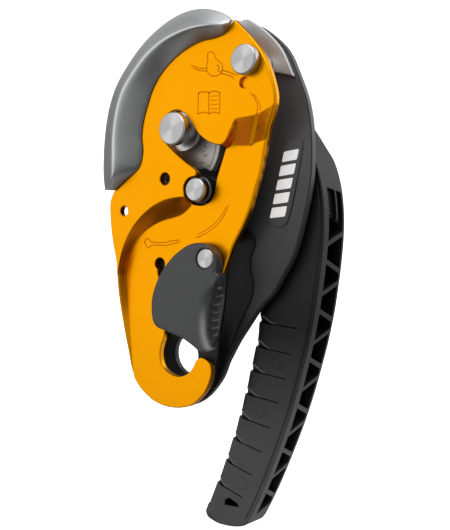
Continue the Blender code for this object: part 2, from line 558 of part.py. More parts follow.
# ---- handle -------------------------------------------------------------------------------------
h_right = [(54.9, 105.4), (60.8, 96.7), (65.0, 90.0), (68.2, 80.0), (69.7, 69.0), (69.8, 58.0),
           (68.8, 46.0), (67.0, 33.0), (64.8, 20.0), (62.0, 7.0), (58.5, -6.0), (54.8, -18.5),
           (50.3, -31.5), (45.3, -44.0), (39.3, -58.0), (34.0, -69.0), (30.0, -76.5)]
h_low = [(30.0, -76.5), (27.0, -79.6), (20.0, -81.2), (10.0, -81.0), (4.6, -79.8), (2.9, -76.6)]
h_left = [(2.9, -76.6), (4.9, -72.0), (9.0, -63.6), (13.8, -53.0), (17.6, -43.2), (20.8, -34.8),
          (24.4, -23.6), (27.7, -11.8), (30.7, -0.1), (32.9, 8.0), (34.5, 18.6), (35.3, 28.0), (35.0, 36.0),
          (33.8, 45.0), (30.8, 56.0), (25.0, 67.0), (14.0, 78.0), (2.0, 84.2)]
h_hub = arc(CAM_C, 21.6, 262, 58, 20)
h_top = [(16.1, 123.9), (28.0, 119.5), (40.0, 114.0), (48.0, 109.8), (54.9, 105.4)]
HANDLE_OUT = join(smooth(h_right, 2), smooth(h_low, 2), smooth(h_left, 2), h_hub, smooth(h_top, 2))
handle = flat("handle", [HANDLE_OUT], HANDLE_Y0, HANDLE_Y1, NYLON, (CAM_C[0], 0, CAM_C[1]))


def edge_frame(curve, s):
    """Point, inward normal and tangent at length s along an open run of points."""
    for p, q in zip(curve, curve[1:]):
        d = math.dist(p, q)
        if s <= d:
            t = ((q[0] - p[0]) / d, (q[1] - p[1]) / d)
            return (p[0] + t[0] * s, p[1] + t[1] * s), (t[1], -t[0]), t
        s -= d
    return curve[-1], (t[1], -t[0]), t


OUTER_RUN = smooth(h_right, 6)
POCKETS = 13
FIRST = 43.4         # length along the outer side where the row of pockets starts
PITCH = 11.25
POCKET_DEPTH = 7.2
POCKET_FRONT = 9.9   # y of the pockets' front side


def back_of(z):
    """The grip gets thinner towards its foot."""
    return HANDLE_Y1 - max(0.0, 24.0 - z) * TAPER


def side_pocket(ends, depth):
    """Pocket cut square into the outer side; ends are (length along the side, y) corners."""
    b = bmesh.new()
    near, far = [], []
    for u, y in ends:
        p, nrm, _ = edge_frame(OUTER_RUN, max(u, 0.1))
        y = back_of(p[1]) - 2.1 if y is None else y
        near.append(b.verts.new(((p[0] - nrm[0] * 3) * MM, y * MM, (p[1] - nrm[1] * 3) * MM)))
        far.append(b.verts.new(((p[0] + nrm[0] * depth) * MM, y * MM, (p[1] + nrm[1] * depth) * MM)))
    b.faces.new(near)
    b.faces.new(far[::-1])
    for k in range(len(ends)):
        j = (k + 1) % len(ends)
        b.faces.new([near[j], near[k], far[k], far[j]])
    bmesh.ops.triangulate(b, faces=b.faces)
    bmesh.ops.recalc_face_normals(b, faces=b.faces)
    me = bpy.data.meshes.new("pocket")
    b.to_mesh(me)
    b.free()
    return me


def pocket(i):
    """Pocket between two struts, wide at the front and at the back in turn."""
    s = FIRST + PITCH * (i + 0.5)
    f, r = (6.2, 1.6) if i % 2 == 0 else (2.9, 7.3)
    return side_pocket([(s - f, POCKET_FRONT), (s + f, POCKET_FRONT), (s + r, None), (s - r, None)],
                       POCKET_DEPTH)


hub_cut = turned_mesh(CAM_C, [(0, 4.6), (17.0, 4.6), (17.0, 9.6), (7.4, 9.6), (7.4, 12.4), (14.4, 12.4),
                              (14.4, 26.0), (0, 26.0)], 32)
tether_slot = flat_mesh([[(15.7, -71.4), (16.4, -68.6), (18.6, -67.4), (23.4, -69.4), (24.6, -71.2)]],
                        HANDLE_Y0 - 1.0, HANDLE_Y0 + 9.0)
b = bmesh.new()
wedge = [[b.verts.new((x * MM, y * MM, z * MM)) for y, z in
          ((HANDLE_Y1, 24.0), (HANDLE_Y1 - 110.0 * TAPER, -86.0), (HANDLE_Y1 + 3.0, -86.0),
           (HANDLE_Y1 + 3.0, 24.0))] for x in (-6.0, 80.0)]
b.faces.new(wedge[0])
b.faces.new(wedge[1][::-1])
for k in range(4):
    n = (k + 1) % 4
    b.faces.new([wedge[0][n], wedge[0][k], wedge[1][k], wedge[1][n]])
bmesh.ops.recalc_face_normals(b, faces=b.faces)
taper_cut = bpy.data.meshes.new("taper")
b.to_mesh(taper_cut)
b.free()
recess = side_pocket([(31.0, POCKET_FRONT), (42.6, POCKET_FRONT), (48.0, None), (33.0, None)], 1.8)
cut(handle, [hub_cut, tether_slot, taper_cut, recess] + [pocket(i) for i in range(POCKETS)])

turned("drive_disc", CAM_C, [(4.4, 3.6), (15.6, 3.6), (15.6, 5.0), (4.4, 5.0)], STEEL)
turned("hub_bush", CAM_C, [(4.3, 5.3), (7.1, 5.3), (7.1, 12.2), (4.3, 12.2)], STEEL, 24)
coil("handle_spring", CAM_C, 12.0, 1.2, 5.4, 9.4, 1.75, WIRE, 24)
flat("axle_nut", [circle(CAM_C, 7.6, 6), circle(CAM_C, 4.3, 24)], 12.7, 15.3, STEEL)
turned("hub_cover", CAM_C, [(6.3, 19.8), (14.1, 19.8), (14.1, 21.6), (12.9, 22.6), (6.3, 22.6)], NYLON)
turned("release_button", CAM_C, [(0, 18.3), (12.6, 18.3), (12.6, 19.4), (5.9, 19.4), (5.9, 25.2),
                                 (5.0, 26.2), (0, 26.2)], YELLOW)
coil("button_spring", CAM_C, 10.9, 1.1, 12.7, 18.0, 2.5, WIRE, 20)
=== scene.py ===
"""Looks of the self-braking rope descender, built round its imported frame.

Lengths in this file are millimetres in the part's own frame (X right, Y to the back, Z up);
meshes are written in metres.
"""
import math

import bmesh
import bpy
import numpy as np
from mathutils import Matrix, Vector
from mathutils.geometry import delaunay_2d_cdt


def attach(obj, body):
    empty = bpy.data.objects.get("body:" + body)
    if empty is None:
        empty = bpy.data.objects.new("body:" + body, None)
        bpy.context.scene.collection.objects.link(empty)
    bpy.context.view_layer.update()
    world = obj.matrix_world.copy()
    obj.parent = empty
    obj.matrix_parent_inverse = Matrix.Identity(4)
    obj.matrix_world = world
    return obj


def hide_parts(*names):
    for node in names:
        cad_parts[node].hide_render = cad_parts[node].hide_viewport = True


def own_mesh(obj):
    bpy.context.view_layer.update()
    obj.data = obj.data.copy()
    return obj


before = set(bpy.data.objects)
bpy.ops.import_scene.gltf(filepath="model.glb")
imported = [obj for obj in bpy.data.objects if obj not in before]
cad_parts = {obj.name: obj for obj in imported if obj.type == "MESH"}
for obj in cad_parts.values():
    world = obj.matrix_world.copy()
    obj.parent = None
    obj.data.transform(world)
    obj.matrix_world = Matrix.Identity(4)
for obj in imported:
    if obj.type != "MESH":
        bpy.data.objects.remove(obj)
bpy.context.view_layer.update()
MM = 0.001

# ---- driving places, as in the frame --------------------------------------------------------
RY, LY = -16.0, -11.0
PLATE_T = 3.3
EYE_R = 9.8
PIVOT, CAM_C, GUIDE_C = (44.1, 132.4), (4.7, 105.6), (15.7, 77.4)
GATE_C, CATCH_C = (21.6, 46.0), (-13.5, 87.0)
HY0, HY1, TAPER = 5.4, 24.6, 0.039
CREST, RIM_T = 7.4, 2.8
SCREWS = [(-18.0, 40.0), (16.0, 34.0), (-20.0, -4.0)]

# =============================================================================================
# camera
# =============================================================================================
cam_data = bpy.data.cameras.new("view")
cam_data.sensor_width = 36.0
cam_data.lens = 61.13
cam_data.clip_start, cam_data.clip_end = 0.01, 20
cam = bpy.data.objects.new("view", cam_data)
bpy.context.scene.collection.objects.link(cam)
cam.location = Vector((266.964, -339.648, 50.312)) * MM
look = Vector((26.009, -8.0, 43.157)) * MM - cam.location
cam.rotation_euler = look.to_track_quat("-Z", "Y").to_euler()
bpy.context.scene.camera = cam


# =============================================================================================
# outlines
# =============================================================================================
def smooth(pts, n=4):
    out = []
    for i in range(len(pts) - 1):
        p0, p1, p2 = pts[max(i - 1, 0)], pts[i], pts[i + 1]
        p3 = pts[min(i + 2, len(pts) - 1)]
        for k in range(n):
            t = k / n
            out.append(tuple(
                0.5 * (2 * b + (c - a) * t + (2 * a - 5 * b + 4 * c - d) * t * t
                       + (3 * b - a - 3 * c + d) * t ** 3)
                for a, b, c, d in zip(p0, p1, p2, p3)))
    out.append(tuple(pts[-1]))
    return out


def join(*runs):
    out = []
    for run in runs:
        for p in run:
            if not out or math.dist(p[:2], out[-1][:2]) > 0.05:
                out.append(tuple(p))
    if math.dist(out[0][:2], out[-1][:2]) < 0.05:
        out.pop()
    return out


def arc(c, r, a0, a1, n):
    return [(c[0] + r * math.cos(math.radians(a0 + (a1 - a0) * i / n)),
             c[1] + r * math.sin(math.radians(a0 + (a1 - a0) * i / n))) for i in range(n + 1)]


def circle(c, r, n=48):
    return arc(c, r, 0, 360, n)[:-1]


def mix(a, b, f):
    return (a[0] + (b[0] - a[0]) * f, a[1] + (b[1] - a[1]) * f)


def spaced(run, step, closed=False):
    """The same run with points at most a step apart."""
    pts = list(run) + ([run[0]] if closed else [])
    out = []
    for a, b in zip(pts, pts[1:]):
        n = max(1, int(math.ceil(math.dist(a[:2], b[:2]) / step)))
        out += [tuple(p + (q - p) * k / n for p, q in zip(a, b)) for k in range(n)]
    if not closed:
        out.append(tuple(pts[-1]))
    return out


def evenly(run, n):
    """n points at even lengths along an open run."""
    p = np.array([q[:2] for q in run], float)
    s = np.r_[0, np.cumsum(np.linalg.norm(np.diff(p, axis=0), axis=1))]
    u = np.linspace(0, s[-1], n)
    return [(float(a), float(b)) for a, b in zip(np.interp(u, s, p[:, 0]), np.interp(u, s, p[:, 1]))]


def shift(run, d):
    """An open run moved sideways by d, to its left."""
    p = np.array([q[:2] for q in run], float)
    t = np.gradient(p, axis=0)
    t /= np.linalg.norm(t, axis=1)[:, None] + 1e-9
    q = p + d * np.c_[-t[:, 1], t[:, 0]]
    return [tuple(v) for v in q]


def fillet(pts, r, n=4, skip=()):
    """An open profile with its inner corners rounded."""
    out = [pts[0]]
    for i in range(1, len(pts) - 1):
        a, b, c = (np.array(pts[j], float) for j in (i - 1, i, i + 1))
        da, dc = np.linalg.norm(a - b), np.linalg.norm(c - b)
        k = min(r, da * 0.45, dc * 0.45)
        if i in skip or k < 0.02:
            out.append(tuple(b))
            continue
        p, q = b + (a - b) / da * k, b + (c - b) / dc * k
        for j in range(n + 1):
            t = j / n
            out.append(tuple((1 - t) ** 2 * p + 2 * t * (1 - t) * b + t * t * q))
    out.append(pts[-1])
    return out


def seg_dist(P, run, closed=False):
    """Distance from points P to a run of points."""
    p = np.array([q[:2] for q in run], float)
    if closed:
        p = np.vstack([p, p[:1]])
    a, b = p[:-1], p[1:]
    ab = b - a
    l2 = (ab ** 2).sum(1) + 1e-12
    best = np.full(len(P), 1e9)
    for s in range(0, len(P), 4000):
        q = P[s:s + 4000]
        t = np.clip(((q[:, None] - a[None]) * ab[None]).sum(2) / l2, 0, 1)
        d = np.linalg.norm(q[:, None] - (a[None] + t[..., None] * ab[None]), axis=2)
        best[s:s + 4000] = d.min(1)
    return best


def nearest_value(P, run, values):
    """Value carried by the nearest point of a run."""
    p = np.array([q[:2] for q in run], float)
    v = np.array(values, float)
    out = np.zeros(len(P))
    for s in range(0, len(P), 4000):
        d = ((P[s:s + 4000, None] - p[None]) ** 2).sum(2)
        out[s:s + 4000] = v[d.argmin(1)]
    return out


def within(P, loop):
    """Which of the points P lie in a closed loop."""
    p = np.array([q[:2] for q in loop], float)
    a, b = p, np.roll(p, 1, axis=0)
    hit = np.zeros(len(P), bool)
    for (ax, az), (bx, bz) in zip(a, b):
        if az == bz:
            continue
        c = ((az > P[:, 1]) != (bz > P[:, 1]))
        x = (bx - ax) * (P[:, 1] - az) / (bz - az) + ax
        hit ^= c & (P[:, 0] < x)
    return hit


def signed_area(loop):
    return 0.5 * sum(a[0] * b[1] - b[0] * a[1] for a, b in zip(loop, loop[1:] + loop[:1]))


def step_up(x):
    x = np.clip(x, 0, 1)
    return x * x * (3 - 2 * x)


def rounding(d, r):
    """How far a face drops within r of its edge, as a quarter circle."""
    e = np.clip(np.asarray(r - d), 0, None)
    return r - np.sqrt(np.clip(r * r - np.minimum(e, r) ** 2, 0, None))


# =============================================================================================
# solids
# =============================================================================================
def mesh_from(bm, name, sharp=38):
    bmesh.ops.remove_doubles(bm, verts=bm.verts, dist=1e-6)
    loose = [v for v in bm.verts if not v.link_faces]
    bmesh.ops.delete(bm, geom=loose, context="VERTS")
    bmesh.ops.recalc_face_normals(bm, faces=bm.faces)
    me = bpy.data.meshes.new(name)
    bm.to_mesh(me)
    bm.free()
    me.shade_smooth()
    me.set_sharp_from_angle(angle=math.radians(sharp))
    return me


def relief(outer, holes, front, back, rounds=(0.5,), lines=(), loops=(), grid=3.0, step=1.2, sharp=38):
    """A sheet or block between two height fields over an outline with holes.

    front(P, d) and back(P, d) give y at points P, where d is the distance to the nearest edge.
    """
    edges_in = [spaced(outer, step, True)] + [spaced(h, step, True) for h in holes]
    co, ed = [], []

    def put(pts, closed=False, keep=None):
        s = len(co)
        co.extend((float(p[0]), float(p[1])) for p in pts)
        n = len(pts)
        for i in range(n if closed else n - 1):
            j = (i + 1) % n
            if keep is None or (keep[i] and keep[j]):
                ed.append((s + i, s + j))

    for lp in edges_in:
        put(lp, True)
    allruns = edges_in

    def edge_d(P):
        d = np.full(len(P), 1e9)
        for lp in allruns:
            d = np.minimum(d, seg_dist(P, lp, True))
        return d

    insets = sorted({round(r * (1 - math.cos(math.radians(a))), 3) for r in rounds for a in (28, 52, 72, 90)})
    for k, lp in enumerate(edges_in):
        L = lp if signed_area(lp) > 0 else lp[::-1]
        p = np.array(L, float)
        t1 = p - np.roll(p, 1, axis=0)
        t2 = np.roll(p, -1, axis=0) - p
        n1 = np.c_[-t1[:, 1], t1[:, 0]] / (np.linalg.norm(t1, axis=1)[:, None] + 1e-9)
        n2 = np.c_[-t2[:, 1], t2[:, 0]] / (np.linalg.norm(t2, axis=1)[:, None] + 1e-9)
        nn = n1 + n2
        nn /= np.linalg.norm(nn, axis=1)[:, None] + 1e-9
        m = 1 / np.clip((nn * n1).sum(1), 0.6, 1)
        sgn = 1 if k == 0 else -1
        for d in insets:
            q = p + sgn * nn * (d * m)[:, None]
            good = edge_d(q) > d * 0.93
            pts = [tuple(v) for v in q]
            put(pts, True, good)
            for i in np.where(~good)[0]:      # a dropped point is parked on the edge itself
                co[len(co) - len(pts) + i] = tuple(p[i])
    for ln in lines:
        put(ln)
    for lp in loops:
        put(lp, True)
    C = np.array(co, float)
    lo, hi = C.min(0), C.max(0)
    gx, gz = np.meshgrid(np.arange(lo[0], hi[0], grid), np.arange(lo[1], hi[1], grid * 0.87))
    gx[1::2] += grid / 2
    G = np.c_[gx.ravel(), gz.ravel()]
    G = G[within(G, edges_in[0])]
    for h in edges_in[1:]:
        G = G[~within(G, h)]
    if len(G):
        near = np.full(len(G), 1e9)
        for s in range(0, len(G), 2000):
            near[s:s + 2000] = np.sqrt(((G[s:s + 2000, None] - C[None]) ** 2).sum(2).min(1))
        G = G[near > grid * 0.55]
        co.extend(tuple(g) for g in G)
    v2, _, f2, _, _, _ = delaunay_2d_cdt([Vector(c) for c in co], ed, [], 0, 1e-4)
    V = np.array([tuple(v) for v in v2], float)
    tris = []
    for f in f2:
        for k in range(1, len(f) - 1):
            tris.append((f[0], f[k], f[k + 1]))
    T = np.array(tris, int)
    cen = V[T].mean(1)
    ok = within(cen, edges_in[0])
    for h in edges_in[1:]:
        ok &= ~within(cen, h)
    T = T[ok]
    ar = (V[T[:, 1]] - V[T[:, 0]])
    br = (V[T[:, 2]] - V[T[:, 0]])
    cr = ar[:, 0] * br[:, 1] - ar[:, 1] * br[:, 0]
    T[cr < 0] = T[cr < 0][:, ::-1]
    T = T[np.abs(cr) > 1e-7]
    d = edge_d(V)
    d[d < 2e-3] = 0
    yf, yb = np.asarray(front(V, d), float), np.asarray(back(V, d), float)
    bm = bmesh.new()
    fv = [bm.verts.new((x * MM, y * MM, z * MM)) for (x, z), y in zip(V, yf)]
    bv = [bm.verts.new((x * MM, y * MM, z * MM)) for (x, z), y in zip(V, yb)]
    count = {}
    for a, b, c in T.tolist():
        bm.faces.new((fv[a], fv[b], fv[c]))
        bm.faces.new((bv[c], bv[b], bv[a]))
        for i, j in ((a, b), (b, c), (c, a)):
            count[(i, j)] = 1
    for i, j in count:
        if (j, i) not in count:
            bm.faces.new((fv[j], fv[i], bv[i], bv[j]))
    return mesh_from(bm, "relief", sharp)


def turned(c, profile, n=72, sharp=38, closed=None):
    """A turned piece on an axis along Y; profile is (radius, y). Its mesh is about its own axis."""
    bm = bmesh.new()
    if closed is None:
        closed = profile[0][0] > 1e-6
    rings = []
    for r, y in profile:
        if r < 1e-6:
            rings.append([bm.verts.new((0, y * MM, 0))])
        else:
            rings.append([bm.verts.new((r * MM * math.cos(2 * math.pi * i / n), y * MM,
                                        r * MM * math.sin(2 * math.pi * i / n))) for i in range(n)])
    pairs = list(zip(rings, rings[1:])) + ([(rings[-1], rings[0])] if closed else [])
    for a, b in pairs:
        for i in range(n):
            j = (i + 1) % n
            if len(a) == 1 and len(b) == 1:
                continue
            if len(a) == 1:
                bm.faces.new((a[0], b[i], b[j]))
            elif len(b) == 1:
                bm.faces.new((a[i], a[j], b[0]))
            else:
                bm.faces.new((a[i], a[j], b[j], b[i]))
    me = mesh_from(bm, "turned", sharp)
    return me


def loft(rings, caps=True, sharp=45):
    """Skin over rings of 3D points (x, y, z in mm), each ring closed."""
    bm = bmesh.new()
    vs = [[bm.verts.new(Vector(p) * MM) for p in r] for r in rings]
    k = len(vs[0])
    for a, b in zip(vs, vs[1:]):
        for i in range(k):
            j = (i + 1) % k
            bm.faces.new((a[i], a[j], b[j], b[i]))
    if caps:
        bm.faces.new(vs[0][::-1])
        bm.faces.new(vs[-1])
        bmesh.ops.triangulate(bm, faces=[f for f in bm.faces if len(f.verts) > 4])
    return mesh_from(bm, "loft", sharp)


def subtract(me, cutters):
    """Exact Boolean cut of a mesh with others."""
    a = bpy.data.objects.new("cut_a", me)
    bpy.context.scene.collection.objects.link(a)
    made = []
    for k in cutters:
        b = bpy.data.objects.new("cut_b", k)
        bpy.context.scene.collection.objects.link(b)
        made.append(b)
        m = a.modifiers.new("cut", "BOOLEAN")
        m.operation, m.object, m.solver = "DIFFERENCE", b, "EXACT"
    bpy.context.view_layer.update()
    out = bpy.data.meshes.new_from_object(a.evaluated_get(bpy.context.evaluated_depsgraph_get()))
    for o in [a] + made:
        bpy.data.objects.remove(o, do_unlink=True)
    return out


def resharp(me, sharp=38):
    bm = bmesh.new()
    bm.from_mesh(me)
    return mesh_from(bm, me.name, sharp)


def piece(name, me, mat, body, replaces=(), c=None, weighted=True, bevel=0, world=False):
    """A shown piece. c is its axis in (x, z): its mesh is then about that axis."""
    ob = bpy.data.objects.new(name, me)
    me.name = name
    if c is not None:
        if world:
            me.transform(Matrix.Translation(Vector((-c[0], 0, -c[1])) * MM))
        ob.location = Vector((c[0], 0, c[1])) * MM
    bpy.context.scene.collection.objects.link(ob)
    me.materials.clear()
    me.materials.append(mat)
    if bevel:
        b = ob.modifiers.new("Bevel", "BEVEL")
        b.width, b.segments, b.limit_method, b.angle_limit = bevel * MM, 3, "ANGLE", math.radians(40)
    if weighted:
        w = ob.modifiers.new("Weighted", "WEIGHTED_NORMAL")
        w.keep_sharp, w.weight = True, 60
    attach(ob, body)
    if replaces:
        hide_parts(*replaces)
    return ob


# =============================================================================================
# materials
# =============================================================================================
class Nodes:
    """A small helper for writing node materials."""

    def __init__(self, name):
        self.m = bpy.data.materials.new(name)
        self.m.use_nodes = True
        self.t = self.m.node_tree
        self.b = self.t.nodes["Principled BSDF"]
        self.tc = self.t.nodes.new("ShaderNodeTexCoord")

    def n(self, kind, **kw):
        node = self.t.nodes.new(kind)
        for k, v in kw.items():
            if hasattr(node, k):
                setattr(node, k, v)
        return node

    def link(self, a, b):
        self.t.links.new(a, b)

    def coords(self, scale=(1, 1, 1), rot=(0, 0, 0)):
        mp = self.n("ShaderNodeMapping")
        mp.inputs["Scale"].default_value = scale
        mp.inputs["Rotation"].default_value = rot
        self.link(self.tc.outputs["Object"], mp.inputs["Vector"])
        return mp.outputs["Vector"]

    def noise(self, scale, detail=3, rough=0.55, vec=None, dist=0.0):
        nd = self.n("ShaderNodeTexNoise")
        nd.inputs["Scale"].default_value = scale
        nd.inputs["Detail"].default_value = detail
        nd.inputs["Roughness"].default_value = rough
        nd.inputs["Distortion"].default_value = dist
        self.link(vec or self.tc.outputs["Object"], nd.inputs["Vector"])
        return nd.outputs["Fac"]

    def ramp(self, fac, stops):
        r = self.n("ShaderNodeValToRGB")
        el = r.color_ramp.elements
        while len(el) < len(stops):
            el.new(0.5)
        for e, (p, c) in zip(el, stops):
            e.position = p
            e.color = (*c, 1) if len(c) == 3 else c
        self.link(fac, r.inputs["Fac"])
        return r.outputs["Color"]

    def range(self, fac, a, b, c, d):
        r = self.n("ShaderNodeMapRange")
        for k, v in zip(("From Min", "From Max", "To Min", "To Max"), (a, b, c, d)):
            r.inputs[k].default_value = v
        self.link(fac, r.inputs["Value"])
        return r.outputs["Result"]

    def math(self, op, a, b=None):
        r = self.n("ShaderNodeMath")
        r.operation = op
        for i, v in enumerate((a, b)):
            if v is None:
                continue
            if isinstance(v, (int, float)):
                r.inputs[i].default_value = v
            else:
                self.link(v, r.inputs[i])
        return r.outputs[0]

    def blend(self, fac, a, b, mode="MIX"):
        r = self.n("ShaderNodeMix")
        r.data_type, r.blend_type = "RGBA", mode
        for k, v in ((0, fac), (6, a), (7, b)):
            if isinstance(v, (int, float)):
                r.inputs[k].default_value = v
            elif isinstance(v, tuple):
                r.inputs[k].default_value = (*v, 1)
            else:
                self.link(v, r.inputs[k])
        return r.outputs[2]

    def bump(self, height, strength, distance, normal=None):
        r = self.n("ShaderNodeBump")
        r.inputs["Strength"].default_value = strength
        r.inputs["Distance"].default_value = distance
        self.link(height, r.inputs["Height"])
        if normal is not None:
            self.link(normal, r.inputs["Normal"])
        return r.outputs["Normal"]

    def edge(self, lo=0.52, hi=0.62):
        """How much a point sits on an outer edge, 0 to 1."""
        g = self.n("ShaderNodeNewGeometry")
        return self.range(g.outputs["Pointiness"], lo, hi, 0, 1)

    def hollow(self, dist=0.0012):
        ao = self.n("ShaderNodeAmbientOcclusion")
        ao.inputs["Distance"].default_value = dist
        ao.samples = 4
        return ao.outputs["AO"]

    def along_z(self, zc, stops):
        """A share that changes up the object; stops are (z in mm, share), zc the piece's own height."""
        xyz = self.n("ShaderNodeSeparateXYZ")
        self.link(self.tc.outputs["Object"], xyz.inputs[0])
        f = self.range(self.math("ADD", xyz.outputs[2], zc * MM), -85 * MM, 165 * MM, 0.0, 1.0)
        return self.ramp(f, [((z + 85) / 250.0, (v, v, v)) for z, v in stops])

    def set(self, **kw):
        for k, v in kw.items():
            sock = self.b.inputs[k.replace("_", " ")]
            if isinstance(v, (int, float)):
                sock.default_value = v
            elif isinstance(v, tuple):
                sock.default_value = (*v, 1) if len(v) == 3 and sock.type == "RGBA" else v
            else:
                self.link(v, sock)
        return self


def yellow_anodised(name, folded=False):
    k = Nodes(name)
    tone = k.noise(28, 3, 0.5)
    fine = k.noise(5200, 2, 0.6)
    base = k.ramp(tone, [(0.3, (0.905, 0.352, 0.0006)), (0.7, (0.935, 0.374, 0.0009))])
    if folded:
        # painted shade: the drawn slopes are darker and redder
        at = k.n("ShaderNodeAttribute", attribute_name="slope")
        base = k.blend(k.math("MULTIPLY", at.outputs["Fac"], 0.92), base, (0.66, 0.158, 0.006))
    base = k.blend(k.math("MULTIPLY", k.edge(0.54, 0.7), 0.30), base, (1.0, 0.52, 0.03))
    # painted shade: darker and browner in grooves and hollows
    dark = k.range(k.hollow(0.0014), 0.35, 0.95, 1.0, 0.0)
    base = k.blend(k.math("MULTIPLY", dark, 0.38), base, (0.42, 0.12, 0.0))
    # the sheared edge of the sheet is streaked along its length
    xyz = k.n("ShaderNodeSeparateXYZ")
    k.link(k.tc.outputs["Normal"], xyz.inputs[0])
    side = k.range(k.math("ABSOLUTE", xyz.outputs[1]), 0.25, 0.65, 1.0, 0.0)
    band = k.noise(1.0, 2, 0.5, k.coords((35, 1150, 35)))
    base = k.blend(k.math("MULTIPLY", side, k.range(band, 0.50, 0.58, 0.0, 0.85)), base, (0.20, 0.045, 0.0))
    rough = k.range(k.math("ADD", k.math("MULTIPLY", tone, 0.6), k.math("MULTIPLY", fine, 0.4)),
                    0.3, 0.7, 0.28, 0.36)
    k.set(Base_Color=base, Metallic=1.0, Roughness=rough, Normal=k.bump(fine, 0.10, 0.00004))
    return k.m


def satin_steel(name, base=(0.50, 0.50, 0.51), rough=0.34, streak=(1, 1, 1), grain=3800, depth=0.00003, formed=False):
    k = Nodes(name)
    tone = k.noise(35, 3, 0.5)
    st = k.noise(900, 3, 0.6, k.coords(streak))
    fine = k.noise(grain, 2, 0.6)
    lo = tuple(c * 0.93 for c in base)
    hi = tuple(min(1, c * 1.06) for c in base)
    col = k.ramp(k.math("ADD", k.math("MULTIPLY", tone, 0.5), k.math("MULTIPLY", st, 0.5)),
                 [(0.35, lo), (0.65, hi)])
    col = k.blend(k.math("MULTIPLY", k.edge(0.53, 0.66), 0.35), col, tuple(min(1, c * 1.45) for c in base))
    r = k.range(k.math("ADD", k.math("MULTIPLY", st, 0.6), k.math("MULTIPLY", fine, 0.4)),
                0.3, 0.7, rough - 0.05, rough + 0.07)
    if formed:
        # painted highlight on the crest, painted shade in the cove
        at = k.n("ShaderNodeAttribute", attribute_name="painted_shading").outputs["Fac"]
        col = k.blend(k.range(at, -1.0, 0.0, 1.0, 0.0), col, (0.07, 0.071, 0.073))
        col = k.blend(k.range(at, 0.0, 1.0, 0.0, 1.0), col, (0.93, 0.935, 0.94))
    k.set(Base_Color=col, Metallic=1.0, Roughness=r,
          Normal=k.bump(k.math("ADD", st, fine), 0.12, depth))
    return k.m


def turned_steel(name, base=(0.46, 0.46, 0.465), rough=0.27):
    """Faced on a lathe: fine rings about the piece's own axis."""
    k = Nodes(name)
    xyz = k.n("ShaderNodeSeparateXYZ")
    k.link(k.tc.outputs["Object"], xyz.inputs[0])
    rad = k.math("SQRT", k.math("ADD", k.math("MULTIPLY", xyz.outputs[0], xyz.outputs[0]),
                                k.math("MULTIPLY", xyz.outputs[2], xyz.outputs[2])))
    comb = k.n("ShaderNodeCombineXYZ")
    k.link(rad, comb.inputs[0])
    k.link(k.math("MULTIPLY", xyz.outputs[1], 1.0), comb.inputs[1])
    rings = k.noise(6500, 2, 0.7, comb.outputs[0])
    tone = k.noise(60, 3, 0.5)
    fine = k.noise(4000, 2, 0.6)
    col = k.ramp(k.math("ADD", k.math("MULTIPLY", rings, 0.6), k.math("MULTIPLY", tone, 0.4)),
                 [(0.3, tuple(c * 0.84 for c in base)), (0.7, tuple(min(1, c * 1.14) for c in base))])
    col = k.blend(k.math("MULTIPLY", k.edge(0.53, 0.66), 0.4), col, (0.75, 0.75, 0.76))
    # painted highlight: two opposite fans lighter, as a faced disc throws light
    turn = k.math("ARCTAN2", xyz.outputs[0], xyz.outputs[2])
    fan = k.range(k.math("SINE", k.math("ADD", k.math("MULTIPLY", turn, 2.0), 0.7)), -0.2, 1.0, 0.0, 0.75)
    col = k.blend(fan, col, (0.68, 0.68, 0.685))
    tan = k.n("ShaderNodeTangent")
    tan.direction_type, tan.axis = "RADIAL", "Y"
    k.link(tan.outputs[0], k.b.inputs["Tangent"])
    k.set(Base_Color=col, Metallic=1.0, Roughness=k.range(rings, 0.3, 0.7, rough - 0.03, rough + 0.08),
          Anisotropic=0.82, Normal=k.bump(k.math("ADD", rings, k.math("MULTIPLY", fine, 0.4)), 0.10, 0.00003))
    return k.m


def charcoal_coat(name, base=(0.048, 0.048, 0.051), stops=None):
    k = Nodes(name)
    tone = k.noise(22, 4, 0.55)
    fine = k.noise(3000, 3, 0.65)
    col = k.ramp(tone, [(0.3, tuple(c * 0.88 for c in base)), (0.7, tuple(c * 1.12 for c in base))])
    col = k.blend(k.math("MULTIPLY", k.edge(0.53, 0.66), 0.35), col, (0.14, 0.14, 0.145))
    # painted light: colour scaled by height through the stops
    if stops:
        col = k.blend(1.0, col, k.along_z(0.0, stops), "MULTIPLY")
    k.set(Base_Color=col, Metallic=0.25, Roughness=k.range(fine, 0.3, 0.7, 0.40, 0.50),
          Normal=k.bump(fine, 0.16, 0.00004))
    return k.m


